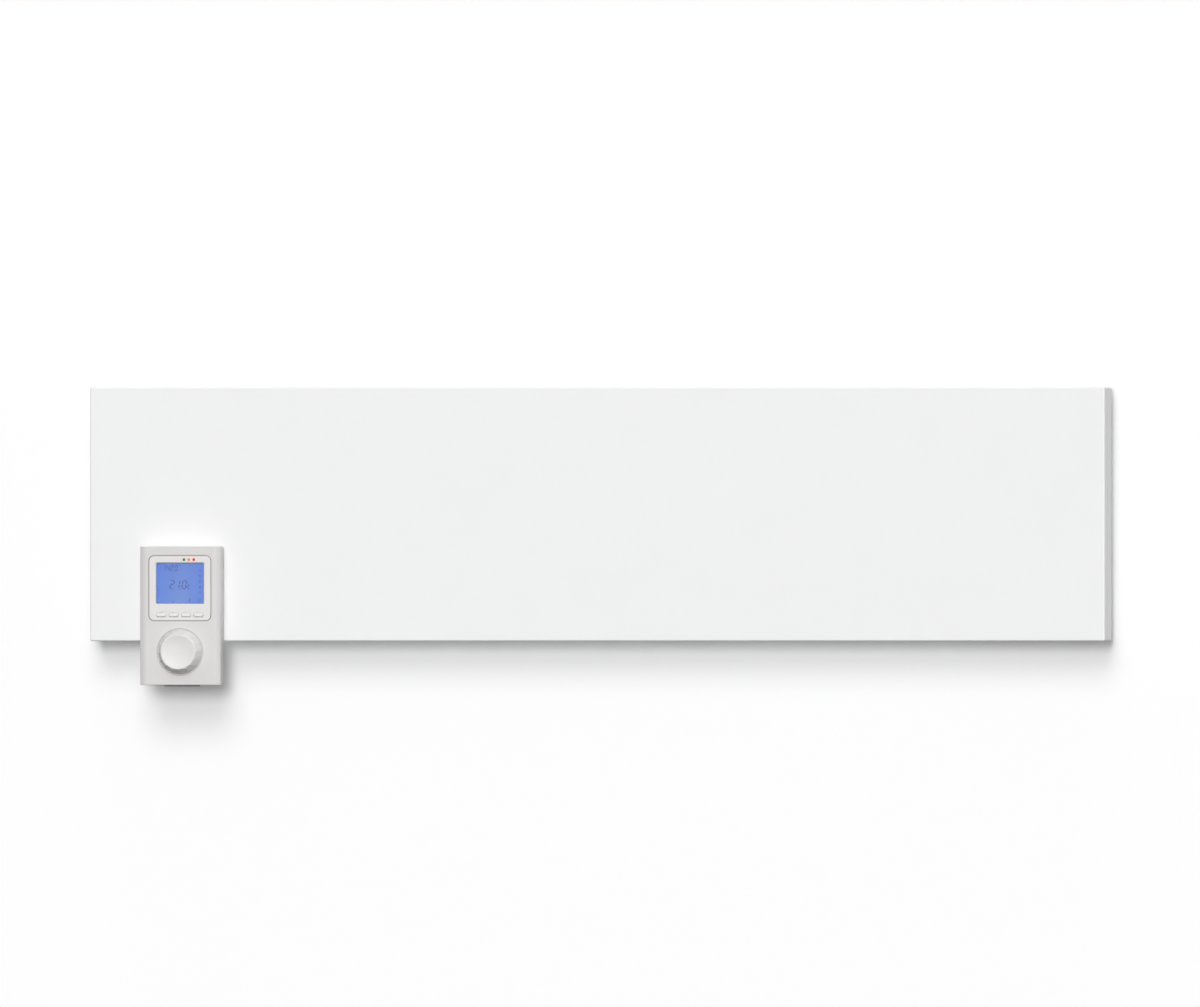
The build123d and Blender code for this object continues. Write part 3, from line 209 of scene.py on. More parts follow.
# %% [markdown]
# ## Effects that many finishes share
# Real surfaces are never one flat colour. A moulding has a faint grain, a coat of powder has a
# pebbled skin, zinc shows crystals, and every colour wanders a little. Each effect is a shader
# node group: built once here, and placed in each material with its own numbers. The groups only
# put out colours and values, and the shader that uses them stays in the material.

# %% A helper that opens a node group
SOCKET_KINDS = {"Colour": "NodeSocketColor", "Stretch": "NodeSocketVector"}
PALE = (0.8, 0.8, 0.8, 1.0)


def open_group(name, outputs, **inputs):
    """An empty node group with named sockets, and its two ends. Most sockets are numbers."""
    group = bpy.data.node_groups.new(name, "ShaderNodeTree")
    for way, labels in (("INPUT", inputs), ("OUTPUT", outputs)):
        for label in labels:
            kind = SOCKET_KINDS.get(label, "NodeSocketFloat")
            socket = group.interface.new_socket(label, in_out=way, socket_type=kind)
            if way == "INPUT":
                socket.default_value = inputs[label]
    start = group.nodes.new("NodeGroupInput")
    end = group.nodes.new("NodeGroupOutput")
    return group, start.outputs, end.inputs


def swing_colour(group, colour, mask, low, high, amount):
    """A colour made lighter and darker by an amount, where the mask runs from low to high."""
    swing = remap(group, mask, low, high, -1.0, 1.0)
    gain = math_node(group, "ADD", math_node(group, "MULTIPLY", swing, amount), 1.0)
    return vector_node(group, "SCALE", colour, gain)


print("group helper is ready")

# %% [markdown]
# ### Drifting tone
# Pigment, thickness of coat and a little ageing make a colour lighter here and darker there over
# some centimetres. Two noises, one broad and one finer, scale the colour by a few percent.

# %% The drifting tone group
CLOUD_SHARE = 0.7
MOTTLE_FINENESS = 9.0


def build_tone_drift():
    """Colour that wanders in brightness: broad clouds with a finer mottle in them."""
    group, start, end = open_group(
        "drifting tone", ["Colour"], Colour=PALE, Scale=12.0, Amount=0.03
    )
    clouds = noise_in(group, start["Scale"], detail=3.0)
    finer = math_node(group, "MULTIPLY", start["Scale"], MOTTLE_FINENESS)
    mottle = noise_in(group, finer, offset=3.7)
    clouds = math_node(group, "MULTIPLY", clouds, CLOUD_SHARE)
    mottle = math_node(group, "MULTIPLY", mottle, 1.0 - CLOUD_SHARE)
    both = math_node(group, "ADD", clouds, mottle)
    colour = swing_colour(group, start["Colour"], both, 0.35, 0.65, start["Amount"])
    feed(group, end["Colour"], colour)
    return group


tone_drift = build_tone_drift()
print("built", tone_drift.name)

# %% [markdown]
# ### Grain, pebbled coat and brushed lines
# Three ways in which a surface is not flat. Grain is fine even noise, as a spark-eroded mould
# leaves on plastic. A powder coat melts into soft pebbles a millimetre or two across with a
# finer tooth on top. Brushed or drawn metal has lines, which are a noise stretched a hundred
# times along one axis. All three give a height for a Bump node and a mask for the roughness.

# %% The relief groups
TOOTH_FINENESS = 4.0


def build_grain():
    """Fine even grain of a mould's surface."""
    group, start, end = open_group("moulded grain", ["Height", "Mask"], Scale=1500.0)
    fine = noise_in(group, start["Scale"], detail=3.0)
    feed(group, end["Height"], fine)
    feed(group, end["Mask"], remap(group, fine, 0.3, 0.7))
    return group


def build_pebble():
    """Pebbled skin of a powder coat: soft pebbles with a finer tooth."""
    group, start, end = open_group(
        "pebbled coat", ["Height", "Mask"], Scale=700.0, Tooth=0.25
    )
    pebbles = noise_in(group, start["Scale"], detail=1.0)
    finer = math_node(group, "MULTIPLY", start["Scale"], TOOTH_FINENESS)
    tooth = noise_in(group, finer, offset=1.3)
    tooth = math_node(group, "MULTIPLY", tooth, start["Tooth"])
    feed(group, end["Height"], math_node(group, "ADD", pebbles, tooth))
    feed(group, end["Mask"], remap(group, pebbles, 0.35, 0.65))
    return group


def build_lines():
    """Brushed or drawn lines, stretched by the Stretch vector."""
    group, start, end = open_group(
        "drawn lines", ["Height", "Mask"], Stretch=(20.0, 2000.0, 2000.0)
    )
    lines = noise_in(group, 1.0, detail=3.0, stretch=start["Stretch"])
    feed(group, end["Height"], lines)
    feed(group, end["Mask"], remap(group, lines, 0.3, 0.7))
    return group


grain = build_grain()
pebble = build_pebble()
drawn_lines = build_lines()
print("built", grain.name, pebble.name, drawn_lines.name)

# %% [markdown]
# ### Zinc crystals
# Hot-dip zinc freezes into flat crystals about a centimetre across, each catching the light its
# own way. Voronoi cells with a random tone per cell do this, with a fine frost inside each.

# %% The zinc crystal group
FROST_SCALE = 900.0
FROST_SHARE = 0.35


def build_spangle():
    """Zinc crystals: a tone for each cell, and a roughness mask."""
    group, start, end = open_group(
        "zinc crystals", ["Colour", "Mask"], Colour=PALE, Scale=110.0, Amount=0.25
    )
    place = add_node(group, "TexCoord").outputs["Object"]
    cells = add_node(group, "TexVoronoi", Vector=place, Scale=start["Scale"])
    tone = add_node(group, "SeparateColor", Color=cells.outputs["Color"])
    frost = math_node(group, "MULTIPLY", noise_in(group, FROST_SCALE), FROST_SHARE)
    both = math_node(group, "ADD", tone.outputs["Red"], frost)
    colour = swing_colour(
        group, start["Colour"], both, 0.0, 1.0 + FROST_SHARE, start["Amount"]
    )
    feed(group, end["Colour"], colour)
    feed(group, end["Mask"], tone.outputs["Green"])
    return group


spangle = build_spangle()
print("built", spangle.name)

# %% [markdown]
# ### Settled dust and handling marks
# Anything that hangs in a room gathers a breath of dust on what faces up, and hands leave broad
# faint patches that are a little glossier. The dust mask reads the surface direction and breaks
# it up with noise. The handling mask is noise alone. Both stay very weak, because the heater is
# shown new.

# %% The dust and handling groups
DUST_COLOUR = (0.5, 0.47, 0.43, 1.0)
DUST_SCALE = 260.0


def build_dust():
    """Colour that greys a little where the surface faces up."""
    group, start, end = open_group(
        "settled dust", ["Colour", "Mask"], Colour=PALE, Amount=0.06
    )
    normal = add_node(group, "NewGeometry").outputs["Normal"]
    facing = add_node(group, "SeparateXYZ", Vector=normal)
    upward = remap(group, facing.outputs["Z"], 0.6, 1.0)
    patches = remap(group, noise_in(group, DUST_SCALE, detail=4.0), 0.4, 0.62)
    mask = math_node(group, "MULTIPLY", upward, patches)
    weight = math_node(group, "MULTIPLY", mask, start["Amount"])
    feed(group, end["Colour"], mix_colours(group, weight, start["Colour"], DUST_COLOUR))
    feed(group, end["Mask"], mask)
    return group


def build_handling():
    """Roughness that drops a little in broad patches, where hands have been."""
    group, start, end = open_group(
        "handling marks", ["Roughness"], Roughness=0.4, Spread=0.06, Relief=0.5, Scale=30.0
    )
    patches = noise_in(group, start["Scale"], detail=4.0, offset=5.1)
    broad = remap(group, patches, 0.35, 0.65, -1.0, 1.0)
    fine = math_node(group, "SUBTRACT", start["Relief"], 0.5)
    both = math_node(group, "ADD", broad, fine)
    swing = math_node(group, "MULTIPLY", both, start["Spread"])
    feed(group, end["Roughness"], math_node(group, "ADD", swing, start["Roughness"]))
    return group


dust = build_dust()
handling = build_handling()
print("built", dust.name, handling.name)

# %% [markdown]
# ## The finishes
# Most finishes here are one recipe with different numbers: a colour that drifts and gathers a
# little dust, a roughness that follows the relief and the handling marks, and a bump from one of
# the relief groups. What is the same all over, such as metalness, is set on the shader. A
# relief is a group with its scale, a bump is a strength and a depth in millimetres, and a drift
# is an amount and a scale.

# %% The recipe for a finish
def open_material(name):
    """A new material, its tree and its shader."""
    material = bpy.data.materials.new(name)
    material.use_nodes = True
    tree = material.node_tree
    return material, tree, tree.nodes["Principled BSDF"]


def place_group(tree, group, *numbers, **inputs):
    """The outputs of a group node, whose inputs are fed in order or by name."""
    node = add_node(tree, "Group")
    node.node_tree = group
    for socket, number in zip(node.inputs, numbers):
        feed(tree, socket, number)
    return feed_all(tree, node, **inputs).outputs


def make_finish(
    name, colour, roughness, relief, bump, drift, metal=0.0, spread=0.05, dusty=0.05,
    crystals=None, shine=0.5, coat=0.0,
):
    """A finish from the shared groups: drifting colour, dust, relief and handling marks."""
    material, tree, shader = open_material(name)
    tint = (*colour, 1.0)
    if crystals:
        cells = place_group(tree, spangle, Colour=tint, Scale=crystals[0], Amount=crystals[1])
        tint = cells["Colour"]
    tone = place_group(tree, tone_drift, Colour=tint, Scale=drift[1], Amount=drift[0])
    dusted = place_group(tree, dust, Colour=tone["Colour"], Amount=dusty)
    surface = place_group(tree, *relief)
    hand = place_group(tree, handling, roughness, spread, surface["Mask"])
    raised = add_node(
        tree, "Bump", Strength=bump[0], Distance=bump[1] * MM, Height=surface["Height"]
    )
    feed_all(
        tree, shader, Metallic=metal, Specular_IOR_Level=shine, Coat_Weight=coat,
        Base_Color=dusted["Colour"], Roughness=hand["Roughness"],
        Normal=raised.outputs["Normal"],
    )
    return material


finishes = {}
print("the recipe is ready")

# %% [markdown]
# ### White coats and white mouldings
# The panel is powder coated: a matt white with pebbles so fine that they only soften the light.
# The controller's whites are moulded plastic, slightly warmer and a little darker than the
# panel, with a satin sheen. The dial shines a little more, so its skirt shows a highlight.

# %% White finishes
finishes["white_enamel"] = make_finish(
    "white powder coat", (0.905, 0.907, 0.912), 0.62, relief=(pebble, 720.0, 0.3),
    bump=(0.16, 0.12), drift=(0.006, 9.0), spread=0.04, dusty=0.10, shine=0.4,
)
finishes["controller_white"] = make_finish(
    "satin white housing", (0.685, 0.667, 0.664), 0.50, relief=(grain, 1900.0),
    bump=(0.10, 0.05), drift=(0.010, 28.0), dusty=0.12,
)
finishes["insert_white"] = make_finish(
    "satin white insert", (0.765, 0.748, 0.738), 0.48, relief=(grain, 2200.0),
    bump=(0.08, 0.04), drift=(0.008, 40.0), dusty=0.10,
)
finishes["knob_white"] = make_finish(
    "satin white dial", (0.77, 0.755, 0.75), 0.50, relief=(grain, 2400.0),
    bump=(0.07, 0.04), drift=(0.010, 60.0), spread=0.06, dusty=0.08, shine=0.55,
)
finishes["plate_white"] = make_finish(
    "white mounting plate", (0.70, 0.685, 0.67), 0.55, relief=(grain, 1400.0),
    bump=(0.15, 0.08), drift=(0.02, 30.0), dusty=0.10,
)
finishes["box_plastic"] = make_finish(
    "pale junction box", (0.64, 0.64, 0.615), 0.52, relief=(grain, 1200.0),
    bump=(0.22, 0.1), drift=(0.025, 25.0), dusty=0.12,
)
finishes["foam_tape"] = make_finish(
    "white foam tape", (0.74, 0.74, 0.73), 0.85, relief=(pebble, 2600.0, 0.5),
    bump=(0.5, 0.2), drift=(0.03, 60.0), shine=0.2,
)
print("white finishes:", len(finishes))

# %% [markdown]
# ### Metals
# The back is galvanised sheet with its crystals. Brackets and screws are zinc plated: finer,
# brighter and slightly blue, with faint drawn lines. Foil is nearly a mirror that has been
# crumpled a little, and brass parts are turned, so their lines run round.

# %% Metal finishes
finishes["galvanised_sheet"] = make_finish(
    "galvanised sheet", (0.60, 0.62, 0.64), 0.42, relief=(grain, 260.0), bump=(0.05, 0.1),
    drift=(0.03, 6.0), metal=1.0, crystals=(75.0, 0.17), spread=0.025, dusty=0.10,
)
finishes["zinc_steel"] = make_finish(
    "zinc plated steel", (0.60, 0.615, 0.64), 0.32, relief=(drawn_lines, (900.0, 900.0, 40.0)),
    bump=(0.12, 0.06), drift=(0.05, 40.0), metal=1.0, crystals=(420.0, 0.06), spread=0.08,
    dusty=0.12,
)
finishes["bright_foil"] = make_finish(
    "bright foil", (0.80, 0.81, 0.82), 0.16, relief=(pebble, 90.0, 0.6), bump=(0.5, 0.4),
    drift=(0.02, 20.0), metal=1.0, dusty=0.0,
)
finishes["track_foil"] = make_finish(
    "etched heating track", (0.42, 0.38, 0.30), 0.40,
    relief=(drawn_lines, (30.0, 900.0, 1600.0)), bump=(0.15, 0.05), drift=(0.04, 20.0),
    metal=1.0, dusty=0.0,
)
finishes["brass"] = make_finish(
    "turned brass", (0.66, 0.47, 0.16), 0.26, relief=(drawn_lines, (1500.0, 200.0, 1500.0)),
    bump=(0.2, 0.05), drift=(0.06, 120.0), metal=1.0, spread=0.07,
)
print("with metals:", len(finishes))

# %% [markdown]
# ### Insulation, film, rubber and wire
# Mineral board is a felt of short fibres, so its bump is deep and uneven. The film is dark amber
# laminate with a gloss. Rubber is the mattest thing here, and wire insulation has a soft gloss
# with lines drawn along it by the die.

# %% Inner finishes
LEAD_LINES = (drawn_lines, (60.0, 1800.0, 1800.0))
finishes["mineral_board"] = make_finish(
    "pressed mineral board", (0.56, 0.47, 0.26), 0.95,
    relief=(drawn_lines, (260.0, 700.0, 380.0)), bump=(0.9, 1.2), drift=(0.12, 60.0),
    dusty=0.0, shine=0.1,
)
finishes["heating_laminate"] = make_finish(
    "amber laminate", (0.045, 0.028, 0.014), 0.22, relief=(pebble, 160.0, 0.2),
    bump=(0.2, 0.1), drift=(0.10, 15.0), dusty=0.0, coat=0.3,
)
finishes["black_rubber"] = make_finish(
    "black rubber", (0.018, 0.018, 0.019), 0.78, relief=(pebble, 1300.0, 0.5),
    bump=(0.4, 0.1), drift=(0.15, 70.0), dusty=0.12, shine=0.3,
)
for hue, colour in (("brown", (0.10, 0.035, 0.012)), ("blue", (0.012, 0.045, 0.30))):
    finishes[hue + "_lead"] = make_finish(
        hue + " wire insulation", colour, 0.36, relief=LEAD_LINES, bump=(0.15, 0.04),
        drift=(0.06, 80.0),
    )
finishes["chip_black"] = make_finish(
    "black moulded chips", (0.012, 0.012, 0.014), 0.48, relief=(grain, 2600.0),
    bump=(0.3, 0.06), drift=(0.10, 150.0),
)
finishes["dark_plastic"] = make_finish(
    "dark moulded plastic", (0.02, 0.02, 0.023), 0.45, relief=(grain, 1500.0),
    bump=(0.25, 0.08), drift=(0.10, 60.0), dusty=0.15,
)
finishes["grey_plastic"] = make_finish(
    "grey moulded plastic", (0.21, 0.21, 0.215), 0.48, relief=(grain, 1400.0),
    bump=(0.25, 0.08), drift=(0.05, 60.0), dusty=0.15,
)
finishes["relay_blue"] = make_finish(
    "blue relay case", (0.008, 0.035, 0.21), 0.30, relief=(grain, 2000.0),
    bump=(0.12, 0.05), drift=(0.05, 90.0),
)
finishes["diffuser"] = make_finish(
    "milky light guide", (0.62, 0.70, 0.86), 0.28, relief=(grain, 900.0),
    bump=(0.2, 0.06), drift=(0.04, 60.0), dusty=0.0,
)
finishes["cell_jacket"] = make_finish(
    "cell sleeve", (0.03, 0.034, 0.042), 0.28, relief=(grain, 1200.0),
    bump=(0.08, 0.05), drift=(0.06, 60.0), dusty=0.0,
)
print("with inner finishes:", len(finishes))

# %% [markdown]
# ### Two finishes with a pattern of their own
# Earth wire is green with a yellow stripe that winds round it, and a circuit board shows copper
# tracks through its green mask. The stripe is a wave across the wire, and the tracks are a brick
# pattern at a fine scale. Both only choose between two colours, and the recipe does the rest.

# %% Earth wire and circuit board
STRIPES_PER_METRE = 38.0
STRIPE_COLOUR = (0.62, 0.52, 0.02)
TRACK_SCALE = 90.0
TRACK_WIDTH = 0.045
TRACK_COLOUR = (0.03, 0.16, 0.06)


def two_tone(material, mask, second):
    """Blends a second colour into a finish where the mask is 1."""
    tree = material.node_tree
    dusted = next(
        node for node in tree.nodes if node.type == "GROUP" and node.node_tree is dust
    )
    first = dusted.inputs["Colour"].links[0].from_socket
    feed(tree, dusted.inputs["Colour"], mix_colours(tree, mask, first, (*second, 1.0)))
    return material


def stripes(tree):
    """A mask of slanting bands across the object."""
    place = add_node(tree, "TexCoord").outputs["Object"]
    wave = add_node(tree, "TexWave", Vector=place, Scale=STRIPES_PER_METRE)
    wave.bands_direction = "DIAGONAL"
    return remap(tree, wave.outputs["Fac"], 0.62, 0.68)


def board_tracks(tree):
    """A mask of fine straight tracks on a circuit board."""
    place = add_node(tree, "TexCoord").outputs["Object"]
    turned = add_node(tree, "Mapping", Vector=place, Rotation=(math.pi / 2, 0.0, 0.0))
    bricks = add_node(
        tree, "TexBrick", Vector=turned.outputs["Vector"], Scale=TRACK_SCALE,
        Mortar_Size=TRACK_WIDTH, Mortar_Smooth=0.2,
    )
    return bricks.outputs["Fac"]


earth = make_finish(
    "green and yellow wire insulation", (0.02, 0.22, 0.03), 0.36, relief=LEAD_LINES,
    bump=(0.15, 0.04), drift=(0.05, 80.0),
)
finishes["earth_lead"] = two_tone(earth, stripes(earth.node_tree), STRIPE_COLOUR)
board = make_finish(
    "green circuit board", (0.010, 0.075, 0.035), 0.30, relief=(grain, 1100.0),
    bump=(0.15, 0.05), drift=(0.06, 90.0),
)
finishes["board_green"] = two_tone(board, board_tracks(board.node_tree), TRACK_COLOUR)
print("with patterned finishes:", len(finishes))

# %% [markdown]
# ### Painted shade and dust round the insert and the dial
# A narrow gap between two mouldings gathers shade and a little dust, and from some way off it
# reads as a thin brown-grey line. Here that line is painted into the colour of the mouldings:
# painted shade along the gap, with a little dust. The gap's middle is a rounded box round the
# insert and a circle round the dial. The distance from such an outline is the length of what is
# left of a point after the outline's straight part is taken off, less the corner radius.

# %% Painted shade and dust along the gaps
GAP_SHADE_AND_DUST_COLOUR = (0.36, 0.30, 0.27)
LINE_HALF_WIDTH = 0.45
LINE_FADE = 0.35
GAP_SHADE_AND_DUST_STRENGTH = 0.55
INSERT_RISE = 32.0
INSERT_HALF = (36.75, 37.9)
INSERT_CORNER = 6.45
DIAL_DROP = 42.0
DIAL_GAP_RADIUS = 27.0


def gap_shade_and_dust_mask(tree, up, half, radius):
    """A mask of painted gap shade and dust along a rounded box on the controller, in millimetres.
    """
    middle = at(0.0, up, 0.0)
    straight = [max(side - radius, 0.0) * MM for side in half]
    point = add_node(tree, "TexCoord").outputs["Object"]
    point = vector_node(tree, "SUBTRACT", point, (middle.x, 0.0, middle.z))
    point = vector_node(tree, "ABSOLUTE", point)
    point = vector_node(tree, "SUBTRACT", point, (straight[0], 1.0, straight[1]))
    point = vector_node(tree, "MAXIMUM", point, (0.0, 0.0, 0.0))
    away = math_node(tree, "SUBTRACT", vector_node(tree, "LENGTH", point), radius * MM)
    away = math_node(tree, "ABSOLUTE", away, 0.0)
    far = (LINE_HALF_WIDTH + LINE_FADE) * MM
    return remap(tree, away, LINE_HALF_WIDTH * MM, far, GAP_SHADE_AND_DUST_STRENGTH, 0.0)


# The painted gap shade and dust goes round the insert on both mouldings, and round the dial on
# the housing.
for slot in ("controller_white", "insert_white"):
    tree = finishes[slot].node_tree
    mask = gap_shade_and_dust_mask(tree, INSERT_RISE, INSERT_HALF, INSERT_CORNER)
    if slot == "controller_white":
        dial_gap_shade_and_dust = gap_shade_and_dust_mask(tree, -DIAL_DROP, (0.0, 0.0), DIAL_GAP_RADIUS)
        mask = math_node(tree, "MAXIMUM", mask, dial_gap_shade_and_dust)
    two_tone(finishes[slot], mask, GAP_SHADE_AND_DUST_COLOUR)
print("lines drawn round the insert and the dial")

# %% [markdown]
# ### Light that comes from inside
# The display is lit from behind, and the three status marks are light pipes. Their light is an
# emission of the same colour as the surface, kept low so that they read as lit plastic and not
# as lamps. The display is a little bluer towards its left and right edges, where the light guide
# begins, and paler in the middle. A gradient along x and one along z, with a slow noise, do it.

# %% Lit finishes
PIPE_GLOW = 0.9


def make_lit(name, colour, glow, strength, roughness, glow_drift, **recipe):
    """A finish with a glow of its own that varies a little."""
    material = make_finish(name, colour, roughness, dusty=0.0, **recipe)
    tree = material.node_tree
    light = place_group(tree, tone_drift, (*glow, 1.0), glow_drift[1], glow_drift[0])
    feed_all(
        tree, tree.nodes["Principled BSDF"], Emission_Color=light["Colour"],
        Emission_Strength=strength,
    )
    return material


for slot, name, colour, glow in (
    ("light_green", "green light pipe", (0.0, 0.10, 0.02), (0.0, 0.19, 0.04)),
    ("light_amber", "amber light pipe", (0.45, 0.10, 0.004), (0.62, 0.15, 0.0)),
    ("light_red", "red light pipe", (0.40, 0.0, 0.0), (0.58, 0.0, 0.0)),
):
    finishes[slot] = make_lit(
        name, colour, glow, PIPE_GLOW, 0.5, (0.10, 500.0), relief=(grain, 2400.0),
        bump=(0.05, 0.03), drift=(0.05, 400.0), shine=0.15,
    )
print("with light pipes:", len(finishes))

# %% The lit display
WINDOW_UP = 37.6
DISPLAY_MIDDLE = at(0.0, WINDOW_UP, 82.6)
DISPLAY_HALF_WIDTH = 28.2 * MM
DISPLAY_HALF_HEIGHT = 23.8 * MM
DISPLAY_GLOW = 0.60
# The outer stops of both ramps darken the glow in a thin band round the rim, most at the top:
# painted shade of the window's edge over the sunken cell.
ACROSS_STOPS = [
    (0.0, (0.004, 0.060, 0.360)),
    (0.025, (0.016, 0.140, 0.640)),
    (0.10, (0.050, 0.180, 0.620)),
    (0.45, (0.105, 0.212, 0.560)),
    (0.75, (0.078, 0.188, 0.580)),
    (0.975, (0.035, 0.160, 0.620)),
    (1.0, (0.010, 0.070, 0.400)),
]
DOWN_STOPS = [
    (0.0, (0.25, 0.28, 0.34)),
    (0.035, (0.84, 0.86, 0.95)),
    (0.4, (0.98, 0.98, 0.98)),
    (0.98, (1.06, 1.05, 0.98)),
    (1.0, (0.62, 0.66, 0.74)),
]


def ramp_between(tree, value, stops):
    """A colour ramp with the given stops: (place, colour)."""
    ramp = add_node(tree, "ValToRGB", Fac=value)
    elements = ramp.color_ramp.elements
    while len(elements) < len(stops):
        elements.new(0.5)
    for element, (place, colour) in zip(elements, stops):
        element.position = place
        element.color = (*colour, 1.0)
    return ramp.outputs["Color"]


def make_display():
    """The lit liquid crystal cell, bluer at its sides and paler in the middle, with painted shade
    at its rim.
    """
    material, tree, shader = open_material("lit display")
    place = add_node(tree, "TexCoord").outputs["Object"]
    centred = add_node(
        tree, "Mapping", Vector=place, Location=DISPLAY_MIDDLE,
        Scale=(DISPLAY_HALF_WIDTH, 1.0, DISPLAY_HALF_HEIGHT),
    )
    centred.vector_type = "TEXTURE"
    parts = add_node(tree, "SeparateXYZ", Vector=centred.outputs["Vector"])
    across = remap(tree, parts.outputs["X"], -1.0, 1.0)
    down = remap(tree, parts.outputs["Z"], 1.0, -1.0)
    side = ramp_between(tree, across, ACROSS_STOPS)
    level = ramp_between(tree, down, DOWN_STOPS)
    both = mix_colours(tree, 1.0, side, level, "MULTIPLY")
    light = place_group(tree, tone_drift, Colour=both, Scale=55.0, Amount=0.035)
    base = place_group(tree, tone_drift, (0.045, 0.09, 0.27, 1.0), Scale=300.0, Amount=0.03)
    fine = place_group(tree, grain, Scale=3000.0)
    hand = place_group(tree, handling, Roughness=0.35, Spread=0.05, Relief=fine["Mask"])
    feed_all(
        tree, shader, Emission_Color=light["Colour"], Emission_Strength=DISPLAY_GLOW,
        Base_Color=base["Colour"], Roughness=hand["Roughness"],
    )
    return material


finishes["lcd_blue"] = make_display()
print("display finish is ready")

# %% [markdown]
# ### The clear window
# The pane over the display is clear moulded plastic. It is the one piece that light passes
# through, so it takes transmission with a plain index, a breath of blue, and faint patches where
# fingers have touched it.

# %% Clear window finish
WINDOW_INDEX = 1.3


def make_window():
    """Clear moulded pane."""
    material, tree, shader = open_material("clear window")
    tint = place_group(tree, tone_drift, (0.97, 0.98, 1.0, 1.0), Scale=80.0, Amount=0.01)
    hand = place_group(tree, handling, Roughness=0.02, Spread=0.012, Scale=60.0)
    feed_all(
        tree, shader, Transmission_Weight=1.0, IOR=WINDOW_INDEX,
        Base_Color=tint["Colour"], Roughness=hand["Roughness"],
    )
    return material


finishes["clear_window"] = make_window()
print("finishes in all:", len(finishes))

# %% [markdown]
# ## Dressing the carried-over pieces
# The frame's record says which finish slot each piece has. Going through it once gives every
# piece its material, and a piece that the list forgot would be printed here.

# %% Give every carried-over piece its finish
NODE_SLOTS = {
    entry["node"]: entry["material_slot"] for entry in frame["record"]["subparts"]
}
forgotten = []
for name, node in frame["nodes"].items():
    finish = finishes.get(NODE_SLOTS.get(name))
    if finish is None:
        forgotten.append(name)
        continue
    node.data.materials.clear()
    node.data.materials.append(finish)
print("dressed", len(frame["nodes"]) - len(forgotten), "pieces, forgotten:", forgotten)

# %% [markdown]
# ## The dial
# The dial is a hollow cone: a dished face, a soft rim, and a skirt with sixteen low grip ribs.
# A lathe would turn it, so here its section is drawn as a line of points and spun round the
# shaft. The ribs are then raised from the skirt's own faces with an extrude, which keeps them
# exactly on the slope. Inside, a hub hides the shaft.

# %% Turn the dial
DIAL_AXIS = at(0.0, -DIAL_DROP, 0.0)
DIAL_REAR = 85.6
DIAL_FRONT = 99.4
DIAL_RADIUS = 25.65
FACE_RADIUS = 20.55
DISH_RADIUS = 19.6
DISH_DEPTH = 2.0
DISH_POWER = 2.6
DIAL_CEILING = 95.7
DIAL_WALL = 2.2
DIAL_EDGE = 0.2
RIM_POINTS = [(19.85, 99.38), (20.15, 99.25), (20.38, 99.0)]
SKIRT_START = (0.04, 0.06)
SKIRT_RUN = (0.93, 0.90)
HUB_RADIUS = 5.5
HUB_REAR = 90.1
BORE_RADIUS = 3.06
BORE_END = 95.8
RIBS = 16
STEPS_PER_RIB = 12
RIB_STEPS = 2
RIB_HEIGHT = 0.45
DISH_POINTS = 9
SKIRT_POINTS = 5


def dial_section():
    """The dial's section as (radius, out) points, from the face's centre round to the bore."""
    points = []
    for step in range(DISH_POINTS):
        radius = DISH_RADIUS * step / (DISH_POINTS - 1)
        hollow = 1.0 - (radius / DISH_RADIUS) ** DISH_POWER
        points.append((radius, DIAL_FRONT - DISH_DEPTH * hollow))
    points += RIM_POINTS
    for step in range(SKIRT_POINTS):
        share = step / (SKIRT_POINTS - 1)
        wider, lower = (start + run * share for start, run in zip(SKIRT_START, SKIRT_RUN))
        radius = FACE_RADIUS + (DIAL_RADIUS - FACE_RADIUS) * wider
        points.append((radius, DIAL_FRONT + (DIAL_REAR - DIAL_FRONT) * lower))
    return points + [
        (DIAL_RADIUS, DIAL_REAR + DIAL_EDGE),
        (DIAL_RADIUS - DIAL_EDGE, DIAL_REAR),
        (DIAL_RADIUS - DIAL_WALL, DIAL_REAR),
        (FACE_RADIUS - DIAL_WALL, DIAL_CEILING),
        (HUB_RADIUS, DIAL_CEILING),
        (HUB_RADIUS, HUB_REAR),
        (BORE_RADIUS, HUB_REAR),
        (BORE_RADIUS, BORE_END),
        (0.0, BORE_END),
    ]


form = bmesh.new()
section = [
    form.verts.new(DIAL_AXIS + Vector((radius, -out, 0.0)) * MM)
    for radius, out in dial_section()
]
edges = [form.edges.new(pair) for pair in zip(section, section[1:])]
steps = RIBS * STEPS_PER_RIB
bmesh.ops.spin(
    form, geom=section + edges, cent=DIAL_AXIS, axis=(0, 1, 0), dvec=(0, 0, 0),
    angle=math.tau, steps=steps, use_merge=True, use_duplicate=False,
)
bmesh.ops.remove_doubles(form, verts=form.verts, dist=MERGE_DISTANCE)
print("turned section:", len(section), "points,", len(form.faces), "faces")

# %% Raise the grip ribs
RIB_REAR_GAP = 0.5
RIB_FRONT_GAP = 0.8
RIB_FROM = 20.6
RIB_TO = 25.55
INNER_RADIUS = 20.4
INNER_SLOPE = 0.3


def rib_faces(form):
    """Skirt faces that lie under a rib."""
    chosen = []
    for face in form.faces:
        middle = face.calc_center_median() - DIAL_AXIS
        radius = math.hypot(middle.x, middle.z) / MM
        out = -middle.y / MM
        along = DIAL_REAR + RIB_REAR_GAP < out < DIAL_FRONT - RIB_FRONT_GAP
        outside = radius > INNER_RADIUS + (DIAL_FRONT - out) * INNER_SLOPE
        column = math.floor(math.atan2(middle.z, middle.x) / math.tau * steps) % STEPS_PER_RIB
        if along and RIB_FROM < radius < RIB_TO and outside and column < RIB_STEPS:
            chosen.append(face)
    return chosen


